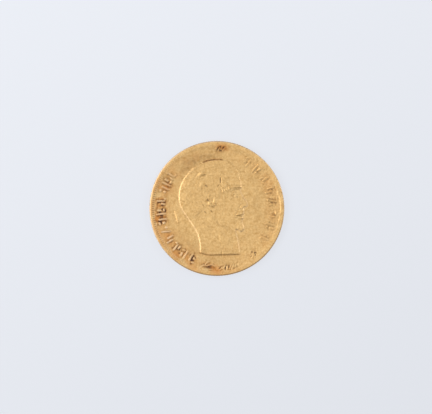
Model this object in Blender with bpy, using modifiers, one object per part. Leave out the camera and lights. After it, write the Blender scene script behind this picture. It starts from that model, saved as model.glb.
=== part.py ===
"""A worn gold coin, struck in low relief on both sides, lying with its portrait side up.

The coin is one solid. Its frame has the origin under the centre of the coin, on the surface that
the coin lies on, +Z up out of the portrait side and +Y towards the portrait's crown.
"""

import math

import bmesh
import bpy
from mathutils import Matrix, Vector

MM = 0.001

# Flan: the disc and the rims raised on both of its sides
COIN_DIAMETER = 19.0 * MM
FIELD_THICKNESS = 0.57 * MM
RIM_RISE = 0.175 * MM
RIM_WIDTH = 0.42 * MM
RIM_SLOPE = 0.13 * MM
EDGE_ROUNDING = 0.07 * MM
RIM_FACETS = 80
SHARP_EDGE = 35.0

# Low relief: heights over the field, and the depth that each form is rooted in it, as shares of
# the rim's rise, so that the rims carry the coin
ROOT_SHARE = 1 / 3
PORTRAIT_SHARE = 0.74
OUTLINE_SHARE = 0.27
LOCK_SHARE = 0.17
FEATURE_SHARE = 0.13
STROKE_SHARE = 0.52
LEAF_SHARE = 0.66
STEM_SHARE = 0.40

# Portrait side: a band left for beads, the ring of inscription strokes, the portrait inside it
BEAD_BAND = 0.50 * MM
LEGEND_HEIGHT = 1.18 * MM
PORTRAIT_GAP = 0.40 * MM
STROKE_WIDTH = 0.23 * MM
STROKE_CREST = 0.62
FOOT_STROKE = 0.60 * MM
FOOT_STROKE_GAP = 0.30 * MM

# Angles on the portrait side run clockwise from its foot, in degrees: first and last sign of
# each arc of the inscription with their number, the small device, and the marks at the foot
LEGEND_ARCS = ((26.0, 97.0, 8), (110.0, 126.0, 3), (213.0, 301.0, 8))
DEVICE_ANGLE = 322.0
DEVICE_SPREAD = 4.0
DEVICE_FOOT_SPREAD = 2.4
DEVICE_FOOT = 0.25
FOOT_MARKS = 9
FOOT_MARK_CENTRE = -3.0
FOOT_MARK_STEP = 4.4
FOOT_MARK_LEAN = 1.6

# Back: a wreath of two branches, crossed at the foot, around three rows of strokes. A leaf reaches
# this share of its length out from the stem, is followed by the next pair after its pitch, and
# narrows by its pinch to its tips; strokes in a row stand a few of their widths apart
WREATH_GAP = 0.30 * MM
LEAF_LENGTH = 1.60 * MM
LEAF_WIDTH = 0.62 * MM
LEAF_SPLAY = 33.0
LEAF_REACH = 0.85
LEAF_PITCH = 0.92
LEAF_PINCH = 0.35
LEAF_OFFSET = 0.3
WREATH_START = 13.0
WREATH_END = 158.0
STEM_CROSSING = 10.0
STEM_WIDTH = 0.24 * MM
ROW_PITCH = 1.75 * MM
ROW_STROKE = 1.05 * MM
ROW_GAP = 0.35 * MM
ROW_SPACING = 3.5
SHORT_STROKE = 0.475

# Levels and radii that follow from the sizes above
COIN_THICKNESS = FIELD_THICKNESS + 2 * RIM_RISE
FRONT_FIELD = COIN_THICKNESS - RIM_RISE
ROOT_DEPTH = RIM_RISE * ROOT_SHARE
RADIUS = COIN_DIAMETER / 2
RIM_INNER = RADIUS - RIM_WIDTH
FIELD_RADIUS = RIM_INNER - RIM_SLOPE
LEGEND_OUTER = FIELD_RADIUS - BEAD_BAND
LEGEND_INNER = LEGEND_OUTER - LEGEND_HEIGHT
PORTRAIT_REACH = LEGEND_INNER - PORTRAIT_GAP
WREATH_RADIUS = FIELD_RADIUS - WREATH_GAP - LEAF_LENGTH * LEAF_REACH

# The head fills this share of the portrait's reach, and its back lies this share of its height
# behind the coin's centre. The portrait is laid out in head heights: upwards from the chin's
# level (0) to the crown (1), and forwards from the back of the head (0)
HEAD_SHARE = 1.463
HEAD_BACK_SHARE = 0.528
HEAD_HEIGHT = HEAD_SHARE * PORTRAIT_REACH
CHIN_LEVEL = PORTRAIT_REACH - HEAD_HEIGHT
HEAD_BACK = -HEAD_BACK_SHARE * HEAD_HEIGHT
CUT_LEVEL = -0.333
FRONT_REACH = 0.98
GRID_PITCH = 0.040

# Modelling of the head: how closely its masses keep to their own shapes where they meet, the
# depth that counts as full, and the power that flattens what lies near it
MASS_POWER = 7
FULL_DEPTH = 0.33
WORN_POWER = 0.75

# Hair: tiers of locks between the hairline and the nape, as shares of the hair's reach. Each lock
# starts on its tier, arches over it and ends under it, and spans about two steps of its row
HAIR_CENTRE = (0.46, 0.50)
HAIR_REACH = 0.455
FORELOCK_REACH = 0.075
FORELOCK_ANGLE = 60.0
WHORL_ANGLE = 128.0
HAIRLINE_ANGLE = 46.0
NAPE_ANGLE = 230.0
HAIR_TIERS = (0.90, 0.75, 0.60, 0.45)
HALF_TIER = 0.05
LOCK_PITCH = 0.124
LOCK_WIDTH = 0.074
LOCK_TIP = 0.18
LOCK_CREST = 0.40
LOCK_START = 0.10
LOCK_SPAN = 1.9
LAST_LOCK_SPAN = 1.1
LOCK_ARCH = 0.10
LOCK_FALL = 0.16
LOCK_STEPS = 5

# Signs of the inscription, none of them a letter: strokes that stand apart, each with its shift
# along the ring, its foot and its head up the ring's height, and its lean, in legend heights
SIGNS = (
    ((-0.28, 0.00, 1.00, 0.00), (0.20, 0.00, 0.52, 0.00)),
    ((-0.20, 0.05, 0.88, 0.20), (0.32, 0.42, 1.00, 0.00)),
    ((-0.34, 0.40, 1.00, 0.05), (0.00, 0.00, 0.62, 0.00), (0.34, 0.38, 1.00, -0.05)),
    ((-0.32, 0.00, 0.58, 0.00), (0.02, 0.20, 1.00, 0.06), (0.36, 0.00, 0.50, 0.00)),
)

GOLD = (0.62, 0.40, 0.14, 1.0)


def on_coin(along, up):
    """Turns a place on the portrait, in head heights, into metres on the coin."""
    return Vector((HEAD_BACK + along * HEAD_HEIGHT, CHIN_LEVEL + up * HEAD_HEIGHT))


def dome(along, up, centre, half, depth, lean=0.0):
    """Depth of one rounded mass of the head, an ellipsoid seen from the side."""
    turn = math.radians(lean)
    du, dv = along - centre[0], up - centre[1]
    p = (du * math.cos(turn) + dv * math.sin(turn)) / half[0]
    q = (dv * math.cos(turn) - du * math.sin(turn)) / half[1]
    return depth * math.sqrt(max(0.0, 1.0 - p * p - q * q))


def hollow(along, up, centre, half, depth):
    """Depth of one soft round hollow."""
    p, q = (along - centre[0]) / half[0], (up - centre[1]) / half[1]
    return depth * math.exp(-p * p - q * q)


def soft_line(along, up, start, end, width, depth):
    """Depth of a soft fold or swelling along a straight line."""
    run = Vector(end) - Vector(start)
    place = Vector((along, up)) - Vector(start)
    t = min(1.0, max(0.0, place.dot(run) / run.length_squared))
    return depth * math.exp(-((place - run * t).length_squared) / width**2)


def portrait_rise(along, up):
    """Height over the field of the modelled head, in metres, without its locks and features."""
    masses = (
        dome(along, up, (0.40, 0.62), (0.47, 0.42), 0.330),  # skull under the hair
        dome(along, up, (0.60, 0.60), (0.32, 0.36), 0.300),  # brow and temple
        dome(along, up, (0.64, 0.30), (0.28, 0.36), 0.270, 10),  # cheek
        dome(along, up, (0.69, 0.415), (0.16, 0.10), 0.290, -10),  # cheekbone
        dome(along, up, (0.62, 0.16), (0.27, 0.20), 0.250, -14),  # jaw
        dome(along, up, (0.80, 0.23), (0.13, 0.14), 0.165),  # mouth
        dome(along, up, (0.81, 0.075), (0.115, 0.105), 0.145),  # chin
        dome(along, up, (0.805, 0.615), (0.09, 0.055), 0.205, -8),  # ridge of the brow
        dome(along, up, (0.885, 0.44), (0.055, 0.17), 0.090, 28),  # bridge of the nose
        dome(along, up, (0.925, 0.362), (0.055, 0.043), 0.105),  # tip of the nose
        dome(along, up, (0.882, 0.338), (0.045, 0.036), 0.140),  # wing of the nose
        dome(along, up, (0.56, -0.22), (0.36, 0.62), 0.235, 4),  # neck
        dome(along, up, (0.36, 0.14), (0.30, 0.34), 0.215),  # nape
    )
    depth = sum(mass**MASS_POWER for mass in masses) ** (1 / MASS_POWER)
    depth += soft_line(along, up, (0.42, 0.16), (0.72, -0.33), 0.055, 0.035)  # neck muscle
    depth -= soft_line(along, up, (0.50, 0.13), (0.60, 0.05), 0.045, 0.030)  # corner of the jaw
    depth -= soft_line(along, up, (0.62, 0.03), (0.78, -0.02), 0.045, 0.060)  # under the jaw
    depth -= hollow(along, up, (0.825, 0.525), (0.060, 0.050), 0.060)  # inner corner of the eye
    depth -= hollow(along, up, (0.740, 0.500), (0.070, 0.050), 0.025)  # under the lid
    depth -= hollow(along, up, (0.860, 0.145), (0.050, 0.025), 0.030)  # over the chin
    depth -= hollow(along, up, (0.740, -0.160), (0.055, 0.120), 0.030)  # hollow of the throat
    swell = min(1.0, max(0.0, depth) / FULL_DEPTH) ** WORN_POWER
    return RIM_RISE * (OUTLINE_SHARE + (PORTRAIT_SHARE - OUTLINE_SHARE) * swell)


def bow(start, bend, end, steps):
    """Points along a bow from start to end, drawn towards bend."""
    path = []
    for k in range(steps + 1):
        t = k / steps
        path.append(
            (
                (1 - t) ** 2 * start[0] + 2 * t * (1 - t) * bend[0] + t * t * end[0],
                (1 - t) ** 2 * start[1] + 2 * t * (1 - t) * bend[1] + t * t * end[1],
            )
        )
    return path


def on_head(path):
    """Lays a path given in head heights on the modelled head, as points in metres."""
    laid = []
    for along, up in path:
        place = on_coin(along, up)
        laid.append(Vector((place.x, place.y, FRONT_FIELD + portrait_rise(along, up))))
    return laid


def around(angle, radius):
    """A place on the coin, at an angle clockwise from the portrait's foot."""
    turn = math.radians(angle)
    return Vector((-radius * math.sin(turn), -radius * math.cos(turn)))


def spindle(t):
    """Width and rise of a lock along its length, as shares of the fullest."""
    return LOCK_TIP + (1.0 - LOCK_TIP) * math.sin(math.pi * min(1.0, t * 0.95 + 0.08)) ** 0.8


def add_lock(bm, path, width, rise):
    """Adds a ridge that swells and tapers along a path, rooted in the metal under it."""
    last = len(path) - 1
    rings = []
    for k, point in enumerate(path):
        ahead = path[min(k + 1, last)] - path[max(k - 1, 0)]
        side = Vector((-ahead.y, ahead.x, 0.0)).normalized() * width / 2 * spindle(k / last)
        top = rise * spindle(k / last) if 0 < k < last else -ROOT_DEPTH / 3
        foot = point - Vector((0, 0, ROOT_DEPTH))
        crown = point + Vector((0, 0, top))
        shoulder = side * LOCK_CREST
        corners = (foot - side, crown - shoulder, crown + shoulder, foot + side)
        rings.append([bm.verts.new(corner) for corner in corners])
    for near, far in zip(rings, rings[1:]):
        for k in range(4):
            bm.faces.new((near[k - 1], near[k], far[k], far[k - 1]))
    bm.faces.new(rings[0])
    bm.faces.new(reversed(rings[-1]))


def add_stroke(bm, start, end, width, rise):
    """Adds a straight stroke to the portrait side's field, a bar with drafted sides."""
    run = end - start
    made = bmesh.ops.create_cube(bm, size=1.0)["verts"]
    for vert in made:
        top = vert.co.z > 0
        draft = STROKE_CREST if top else 1.0
        along = vert.co.x * (run.length - width * (1.0 - draft))
        vert.co = (along, vert.co.y * width * draft, rise if top else -ROOT_DEPTH)
    middle = (start + end) / 2
    lay = Matrix.Translation((middle.x, middle.y, FRONT_FIELD))
    turn = Matrix.Rotation(math.atan2(run.y, run.x), 4, "Z")
    bmesh.ops.transform(bm, matrix=lay @ turn, verts=made)


def add_leaf(bm, root, heading):
    """Adds a laurel leaf to the field, an almond that starts at root."""
    made = bmesh.ops.create_uvsphere(bm, u_segments=6, v_segments=5, radius=0.5)["verts"]
    for vert in made:
        t = vert.co.z * 2
        pinch = 1.0 - LEAF_PINCH * t * t
        swell = RIM_RISE * LEAF_SHARE * 2
        vert.co = (t * LEAF_LENGTH / 2, vert.co.x * LEAF_WIDTH * pinch, vert.co.y * swell * pinch)
    middle = root + Vector((math.cos(heading), math.sin(heading))) * LEAF_LENGTH / 2
    lay = Matrix.Translation((middle.x, middle.y, FRONT_FIELD - ROOT_DEPTH / 4))
    turn = Matrix.Rotation(heading, 4, "Z")
    bmesh.ops.transform(bm, matrix=lay @ turn, verts=made)


def helper(name, bm, collection, turn=None):
    """Closes a bmesh into a helper object that the coin is joined with."""
    if turn is not None:
        bmesh.ops.transform(bm, matrix=turn, verts=bm.verts)
    bmesh.ops.recalc_face_normals(bm, faces=bm.faces)
    mesh = bpy.data.meshes.new(name)
    bm.to_mesh(mesh)
    bm.free()
    mesh.shade_smooth()
    mesh.set_sharp_from_angle(angle=math.radians(SHARP_EDGE))
    return hide(bpy.data.objects.new(name, mesh), collection)


def hide(piece, collection):
    """Marks an object as a helper, which is no part by itself."""
    collection.objects.link(piece)
    piece.hide_render = True
    piece.display_type = "WIRE"
    return piece


def meshed(curve_object, collection, turn=None):
    """Turns a curve into a closed mesh, so that it can cut and join."""
    bpy.context.view_layer.update()
    graph = bpy.context.evaluated_depsgraph_get()
    mesh = bpy.data.meshes.new_from_object(curve_object.evaluated_get(graph))
    bm = bmesh.new()
    bm.from_mesh(mesh)
    bmesh.ops.remove_doubles(bm, verts=bm.verts, dist=0.000001)
    bmesh.ops.transform(bm, matrix=curve_object.matrix_world, verts=bm.verts)
    name = curve_object.name + "_solid"
    bpy.data.objects.remove(curve_object)
    return helper(name, bm, collection, turn)


def make_rim(collection):
    """The ring of both rims and the edge, as a turned profile."""
    sunk = FIELD_RADIUS - RIM_SLOPE * ROOT_DEPTH / RIM_RISE
    profile = (
        (RIM_INNER, COIN_THICKNESS),
        (RADIUS - EDGE_ROUNDING, COIN_THICKNESS),
        (RADIUS, COIN_THICKNESS - EDGE_ROUNDING),
        (RADIUS, EDGE_ROUNDING),
        (RADIUS - EDGE_ROUNDING, 0.0),
        (RIM_INNER, 0.0),
        (sunk, RIM_RISE + ROOT_DEPTH),
        (sunk, FRONT_FIELD - ROOT_DEPTH),
    )
    mesh = bpy.data.meshes.new("gold_coin")
    edges = [(k, (k + 1) % len(profile)) for k in range(len(profile))]
    mesh.from_pydata([(radius, 0.0, level) for radius, level in profile], edges, [])
    coin = bpy.data.objects.new("gold_coin", mesh)
    collection.objects.link(coin)
    screw = coin.modifiers.new("turn", "SCREW")
    screw.steps = screw.render_steps = RIM_FACETS
    screw.use_merge_vertices = True
    screw.merge_threshold = 0.00001
    return coin


def make_field(collection):
    """The disc between the rims, its edge buried in the rim ring."""
    bpy.ops.mesh.primitive_cylinder_add(
        vertices=RIM_FACETS,
        radius=RIM_INNER,
        depth=FIELD_THICKNESS,
        location=(0, 0, COIN_THICKNESS / 2),
    )
    disc = bpy.context.object
    disc.name = "field_disc"
    for owner in list(disc.users_collection):
        owner.objects.unlink(disc)
    return hide(disc, collection)


def outline_prism(collection):
    """The head's outline as a closed curve, thick enough to cut the modelled block."""
    crown = ((0.313, 0.953), (0.460, 0.996), (0.600, 1.000), (0.700, 0.975), (0.780, 0.905))
    forehead = ((0.832, 0.810), (0.860, 0.705), (0.874, 0.628), (0.862, 0.565))
    nose = ((0.900, 0.480), (0.957, 0.388), (0.950, 0.350), (0.903, 0.322))
    mouth = ((0.912, 0.280), (0.903, 0.240), (0.886, 0.218), (0.900, 0.188), (0.884, 0.148))
    chin = ((0.900, 0.090), (0.905, 0.020), (0.868, -0.012), (0.804, 0.022), (0.822, -0.110))
    neck = ((0.862, CUT_LEVEL + 0.004), (0.620, CUT_LEVEL), (0.390, CUT_LEVEL), (0.306, CUT_LEVEL + 0.030))
    nape = ((0.299, -0.148), (0.262, -0.020), (0.193, 0.100), (0.101, 0.218))
    back = ((0.024, 0.345), (0.000, 0.458), (0.020, 0.620), (0.087, 0.754), (0.180, 0.858))
    places = crown + forehead + nose + mouth + chin + neck + nape + back
    curve = bpy.data.curves.new("head_outline", "CURVE")
    curve.dimensions = "2D"
    curve.fill_mode = "BOTH"
    curve.extrude = COIN_THICKNESS / 2
    curve.resolution_u = 4
    spline = curve.splines.new("BEZIER")
    spline.use_cyclic_u = True
    spline.bezier_points.add(len(places) - 1)
    for point, place in zip(spline.bezier_points, places):
        point.co = on_coin(*place).to_3d()
        kind = "VECTOR" if place in (neck[0], neck[-1]) else "AUTO"
        point.handle_left_type = point.handle_right_type = kind
    outline = bpy.data.objects.new("head_outline", curve)
    collection.objects.link(outline)
    outline.location.z = FRONT_FIELD + COIN_THICKNESS / 2 - ROOT_DEPTH / 2
    return meshed(outline, collection)


def make_head(collection, cutters):
    """The modelled head: a block with a carved top, cut to the outline."""
    columns = math.ceil((FRONT_REACH + 2 * GRID_PITCH) / GRID_PITCH)
    rows = math.ceil((1.0 - CUT_LEVEL + 2 * GRID_PITCH) / GRID_PITCH)
    bm = bmesh.new()
    bmesh.ops.create_grid(bm, x_segments=columns, y_segments=rows, size=0.5)
    for vert in bm.verts:
        along = FRONT_REACH / 2 + vert.co.x * columns * GRID_PITCH
        up = (1.0 + CUT_LEVEL) / 2 + vert.co.y * rows * GRID_PITCH
        place = on_coin(along, up)
        vert.co = (place.x, place.y, FRONT_FIELD + portrait_rise(along, up))
    walls = bmesh.ops.extrude_face_region(bm, geom=list(bm.faces))
    for item in walls["geom"]:
        if isinstance(item, bmesh.types.BMVert):
            item.co.z = FRONT_FIELD - ROOT_DEPTH
    head = helper("head", bm, collection)
    cut = head.modifiers.new("outline", "BOOLEAN")
    cut.operation = "INTERSECT"
    cut.solver = "EXACT"
    cut.object = outline_prism(cutters)


def make_lock(name, bend_points, width, rise, collection):
    """One lock, lid or lip, lying in a bow on the modelled head."""
    bm = bmesh.new()
    add_lock(bm, on_head(bow(*bend_points, LOCK_STEPS)), width * HEAD_HEIGHT, rise)
    helper(name, bm, collection)


def skull_radius(angle):
    """Reach of the hair from its centre, longest over the forehead."""
    return HAIR_REACH + FORELOCK_REACH * max(0.0, math.cos(math.radians(angle - FORELOCK_ANGLE))) ** 2


def on_skull(angle, tier):
    """A place in the hair, in head heights, on a tier that is a share of the hair's reach."""
    turn = math.radians(angle)
    reach = tier * skull_radius(angle)
    return (HAIR_CENTRE[0] + reach * math.cos(turn), HAIR_CENTRE[1] + reach * math.sin(turn))


def make_hair(collection):
    """Tiers of sickle-shaped locks that part at the whorl, forwards and down to the nape."""
    rise = RIM_RISE * LOCK_SHARE
    for row in HAIR_TIERS:
        step = math.degrees(LOCK_PITCH / (row * skull_radius(WHORL_ANGLE)))
        forwards = round((WHORL_ANGLE - HAIRLINE_ANGLE) / step)
        down = round((NAPE_ANGLE - WHORL_ANGLE) / step)
        for direction, count, tier in ((-1, forwards, row), (1, down, row - HALF_TIER)):
            for k in range(count):
                begin = WHORL_ANGLE + direction * (k - LOCK_START) * step
                span = LOCK_SPAN if k < count - 1 else LAST_LOCK_SPAN
                end = begin + direction * step * span
                bend = on_skull((begin + end) / 2, tier + LOCK_ARCH)
                points = (on_skull(begin, tier), bend, on_skull(end, tier - LOCK_FALL))
                make_lock(f"lock_{tier:.2f}_{direction}_{k}", points, LOCK_WIDTH, rise, collection)


def make_features(collection):
    """Ear, brow, lids, lips, moustache and chin beard."""
    rise = RIM_RISE * FEATURE_SHARE
    bows = (
        ((0.500, 0.455), (0.520, 0.560), (0.440, 0.530), 0.038),  # rim of the ear, front
        ((0.450, 0.535), (0.370, 0.520), (0.418, 0.405), 0.040),  # rim of the ear, back
        ((0.410, 0.430), (0.430, 0.350), (0.492, 0.362), 0.044),  # lobe
        ((0.482, 0.490), (0.435, 0.490), (0.458, 0.400), 0.028),  # inner fold of the ear
        ((0.700, 0.590), (0.775, 0.650), (0.856, 0.610), 0.042),  # brow
        ((0.735, 0.510), (0.785, 0.565), (0.838, 0.530), 0.030),  # upper lid
        ((0.745, 0.505), (0.790, 0.470), (0.832, 0.500), 0.024),  # lower lid
        ((0.800, 0.218), (0.860, 0.238), (0.895, 0.234), 0.030),  # upper lip
        ((0.805, 0.198), (0.860, 0.176), (0.890, 0.190), 0.032),  # lower lip
        ((0.900, 0.296), (0.845, 0.312), (0.765, 0.238), 0.036),  # moustache, upper strand
        ((0.896, 0.272), (0.845, 0.280), (0.772, 0.212), 0.036),  # moustache, lower strand
        ((0.878, 0.130), (0.902, 0.060), (0.886, 0.000), 0.030),  # chin beard, front
        ((0.856, 0.122), (0.876, 0.056), (0.860, -0.006), 0.030),  # chin beard, middle
        ((0.834, 0.108), (0.852, 0.050), (0.836, 0.004), 0.028),  # chin beard, back
    )
    for index, (start, bend, end, width) in enumerate(bows):
        make_lock(f"feature_{index}", (start, bend, end), width, rise, collection)


def make_legend(collection):
    """The ring of strokes where the inscription stood, a small device and marks at the foot."""
    rise = RIM_RISE * STROKE_SHARE
    bm = bmesh.new()
    for begin, end, count in LEGEND_ARCS:
        for k in range(count):
            angle = begin + (end - begin) * k / (count - 1)
            for shift, foot, head, lean in SIGNS[(k * 3 + count) % len(SIGNS)]:
                low = LEGEND_INNER + foot * LEGEND_HEIGHT
                high = LEGEND_INNER + head * LEGEND_HEIGHT
                swing = math.degrees(LEGEND_HEIGHT / LEGEND_OUTER)
                start = around(angle + (shift - lean / 2) * swing, low)
                stop = around(angle + (shift + lean / 2) * swing, high)
                add_stroke(bm, start, stop, STROKE_WIDTH, rise)
    for hand in (-1, 0, 1):
        low = LEGEND_INNER + LEGEND_HEIGHT * DEVICE_FOOT
        start = around(DEVICE_ANGLE + hand * DEVICE_FOOT_SPREAD, low)
        stop = around(DEVICE_ANGLE + hand * DEVICE_SPREAD, LEGEND_OUTER)
        add_stroke(bm, start, stop, STROKE_WIDTH, rise)
    foot_outer = FIELD_RADIUS - FOOT_STROKE_GAP
    for k in range(FOOT_MARKS):
        angle = FOOT_MARK_CENTRE + FOOT_MARK_STEP * (k - FOOT_MARKS // 2)
        start = around(angle - FOOT_MARK_LEAN / 2, foot_outer - FOOT_STROKE)
        stop = around(angle + FOOT_MARK_LEAN / 2, foot_outer)
        add_stroke(bm, start, stop, STROKE_WIDTH, rise)
    helper("legend", bm, collection)


def make_wreath(collection, turn):
    """Two laurel branches with leaves in pairs, crossed at the foot."""
    pitch = math.degrees(LEAF_LENGTH * LEAF_PITCH / WREATH_RADIUS)
    pairs = int((WREATH_END - WREATH_START) / pitch)
    for hand in (-1, 1):
        for k in range(pairs):
            angle = WREATH_START + pitch * k
            for lean in (-1, 1):
                root = around(hand * angle, WREATH_RADIUS + lean * STEM_WIDTH * LEAF_OFFSET)
                growth = around(hand * (angle + 90.0), 1.0)
                heading = math.atan2(growth.y, growth.x) + hand * lean * math.radians(LEAF_SPLAY)
                bm = bmesh.new()
                add_leaf(bm, root, heading)
                helper(f"leaf_{hand}_{k}_{lean}", bm, collection, turn)
        curve = bpy.data.curves.new("stem", "CURVE")
        curve.dimensions = "3D"
        curve.bevel_depth = STEM_WIDTH / 2
        curve.bevel_resolution = 1
        curve.use_fill_caps = True
        spline = curve.splines.new("POLY")
        steps = math.ceil((WREATH_END - WREATH_START) / STEM_CROSSING)
        grown = WREATH_START + pitch * (pairs - 1)
        route = [around(hand * grown * k / steps, WREATH_RADIUS) for k in range(1, steps + 1)]
        route.insert(0, around(-hand * STEM_CROSSING, WREATH_RADIUS + LEAF_WIDTH))
        spline.points.add(len(route) - 1)
        for point, place in zip(spline.points, route):
            point.co = (place.x, place.y, 0.0, 1.0)
        stem = bpy.data.objects.new(f"stem_{hand}", curve)
        collection.objects.link(stem)
        stem.location.z = FRONT_FIELD - ROOT_DEPTH / 4
        stem.scale.z = RIM_RISE * STEM_SHARE / (STEM_WIDTH / 2)
        meshed(stem, collection, turn)


def make_rows(collection, turn):
    """Three level rows of strokes, each as wide as the wreath leaves room for."""
    clear_radius = WREATH_RADIUS - LEAF_LENGTH * math.sin(math.radians(LEAF_SPLAY))
    rise = RIM_RISE * STROKE_SHARE
    bm = bmesh.new()
    for row in (1, 0, -1):
        middle = row * ROW_PITCH
        reach = abs(middle) + ROW_STROKE / 2
        half = math.sqrt(clear_radius**2 - reach**2) - ROW_GAP
        count = 2 * int(half / (STROKE_WIDTH * ROW_SPACING))
        for k in range(count):
            x = half * (2 * k / (count - 1) - 1)
            foot = middle - ROW_STROKE / 2 + (ROW_STROKE * (1.0 - SHORT_STROKE) if k % 4 == 1 else 0.0)
            head = middle + ROW_STROKE / 2 - (ROW_STROKE * (1.0 - SHORT_STROKE) if k % 4 == 3 else 0.0)
            add_stroke(bm, Vector((x, foot)), Vector((x, head)), STROKE_WIDTH, rise)
    helper("rows", bm, collection, turn)


def gold():
    """Worn gold with a soft satin face."""
    material = bpy.data.materials.new("worn_gold")
    material.use_nodes = True
    shader = material.node_tree.nodes["Principled BSDF"]
    shader.inputs["Base Color"].default_value = GOLD
    shader.inputs["Metallic"].default_value = 1.0
    shader.inputs["Roughness"].default_value = 0.45
    return material


def collection_named(name):
    """A new collection in the scene."""
    made = bpy.data.collections.new(name)
    bpy.context.scene.collection.children.link(made)
    return made


def main():
    """Builds the coin and joins its relief to it."""
    for old in list(bpy.data.objects):
        bpy.data.objects.remove(old)
    parts = collection_named("gold_coin")
    relief = collection_named("relief_helpers")
    cutters = collection_named("outline_cutters")

    coin = make_rim(parts)
    make_field(relief)
    make_head(relief, cutters)
    make_hair(relief)
    make_features(relief)
    make_legend(relief)

    # The back is turned over end for end: its top lies under the portrait's foot
    turned = Matrix.Translation((0, 0, COIN_THICKNESS)) @ Matrix.Rotation(math.pi, 4, "X")
    make_wreath(relief, turned)
    make_rows(relief, turned)

    joined = coin.modifiers.new("struck", "BOOLEAN")
    joined.operation = "UNION"
    joined.solver = "EXACT"
    joined.operand_type = "COLLECTION"
    joined.collection = relief
    coin.data.materials.append(gold())


main()
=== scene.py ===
"""Looks of a worn gold coin: two struck faces in fine relief, a reeded edge and an old patina.

Heights and places on the coin are in millimetres until a mesh is made, which is in metres. Each
face is worked out as seen from its own side, with its field at height 0, on a square sheet of
points, and the mesh then reads its heights from the sheet. Angles on a face are degrees clockwise
from its foot.
"""

import logging
import math
from dataclasses import dataclass, field
from enum import Enum

import bpy
import numpy as np
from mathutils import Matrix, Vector


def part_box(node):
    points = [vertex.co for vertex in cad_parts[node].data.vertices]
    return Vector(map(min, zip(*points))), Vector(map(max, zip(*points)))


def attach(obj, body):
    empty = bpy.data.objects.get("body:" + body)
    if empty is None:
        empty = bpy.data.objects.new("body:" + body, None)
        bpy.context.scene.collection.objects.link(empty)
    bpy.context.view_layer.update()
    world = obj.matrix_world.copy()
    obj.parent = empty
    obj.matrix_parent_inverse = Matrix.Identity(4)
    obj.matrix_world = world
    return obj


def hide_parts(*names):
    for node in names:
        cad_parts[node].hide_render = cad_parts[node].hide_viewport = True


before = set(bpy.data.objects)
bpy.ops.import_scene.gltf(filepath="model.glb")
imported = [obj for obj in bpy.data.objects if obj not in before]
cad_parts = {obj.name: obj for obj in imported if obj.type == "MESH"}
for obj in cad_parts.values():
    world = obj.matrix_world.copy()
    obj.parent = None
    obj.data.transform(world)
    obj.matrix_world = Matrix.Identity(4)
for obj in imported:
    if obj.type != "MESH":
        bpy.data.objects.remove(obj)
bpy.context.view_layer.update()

Array = np.ndarray
Place = tuple[float, float]
Path = list[Place]
Bow = tuple[Place, Place, Place]
Colour = tuple[float, float, float]
Socket = bpy.types.NodeSocket

LOG = logging.getLogger("gold_coin")
MM = 0.001
NODE = "gold_coin"
BODY = "root"

# Sizes of the coin, from the solid that it stands for
NODE_LOW, NODE_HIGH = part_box(NODE)
RADIUS = (NODE_HIGH.x - NODE_LOW.x) / 2 / MM
THICKNESS = (NODE_HIGH.z - NODE_LOW.z) / MM
FIELD_DEPTH = 0.175

# Where each ring of a mesh starts, at its lower left, in radians
RING_START = 1.25 * math.pi


class Side(Enum):
    """The two faces of the coin."""

    PORTRAIT = "portrait"
    BACK = "back"


class Layer(Enum):
    """What the mesh carries for the finish, by the name that the finish reads."""

    # Dirt, and also the painted shade along the portrait side's edge
    DIRT = "dirt"
    TONING = "toning"
    # Rubbed metal, and also the painted highlights along the portrait's outline and the rim's upper left
    # side
    RUB = "rub"


def smooth_step(values: Array) -> Array:
    """Eases values that pass from 0 to 1, and holds them there outside."""
    held = np.clip(values, 0.0, 1.0)
    return held * held * (3.0 - 2.0 * held)


def bow(start: Place, bend: Place, end: Place, steps: int = 14) -> Path:
    """Points along a bow from start to end, drawn towards bend.

    Args:
        start: First point.
        bend: Point that the bow is drawn towards.
        end: Last point.
        steps: Number of straight pieces.

    Returns:
        The points of the bow, in order.
    """
    t = np.linspace(0.0, 1.0, steps + 1)[:, None]
    a, b, c = (np.array(point) for point in (start, bend, end))
    points = (1 - t) ** 2 * a + 2 * t * (1 - t) * b + t * t * c
    return [tuple(point) for point in points]


def around(angle: float, radius: float) -> Place:
    """A place on a face, by its degrees clockwise from the foot and its radius."""
    turn = math.radians(angle)
    return (-radius * math.sin(turn), -radius * math.cos(turn))


def smooth_loop(places: tuple[Place, ...], corners: tuple[int, ...], steps: int = 9) -> Array:
    """A smooth closed line through places, sharp at its corners.

    Args:
        places: Points that the line passes through, in order.
        corners: Indices of the points where the line turns sharply.
        steps: Number of straight pieces between two points.

    Returns:
        The points of the line, as rows of x and y.
    """
    points = np.array(places)
    count = len(points)
    leaving, arriving = np.zeros_like(points), np.zeros_like(points)
    for k in range(count):
        back = points[k] - points[k - 1]
        ahead = points[(k + 1) % count] - points[k]
        reach_back, reach_ahead = np.linalg.norm(back), np.linalg.norm(ahead)
        if k in corners:
            arriving[k], leaving[k] = back, ahead
            continue
        lean = back / reach_back * reach_ahead + ahead / reach_ahead * reach_back
        lean = lean / (reach_back + reach_ahead)
        arriving[k], leaving[k] = lean * reach_back, lean * reach_ahead
    t = np.linspace(0.0, 1.0, steps, endpoint=False)[:, None]
    line = []
    for k in range(count):
        following = (k + 1) % count
        line.append(
            (2 * t**3 - 3 * t**2 + 1) * points[k]
            + (t**3 - 2 * t**2 + t) * leaving[k]
            + (3 * t**2 - 2 * t**3) * points[following]
            + (t**3 - t**2) * arriving[following]
        )
    return np.concatenate(line)


def nearest_on(start: Array, end: Array, x: Array, y: Array) -> tuple[Array, Array]:
    """The nearest place on a straight run, seen from every point.

    Args:
        start: Where the run starts.
        end: Where it ends.
        x: Places across.
        y: Places upwards.

    Returns:
        The share of the run at the nearest place, and the distance to it.
    """
    run = end - start
    share = ((x - start[0]) * run[0] + (y - start[1]) * run[1]) / (float(run @ run) + 1e-12)
    share = np.clip(share, 0.0, 1.0)
    return share, np.hypot(x - start[0] - share * run[0], y - start[1] - share * run[1])


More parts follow.
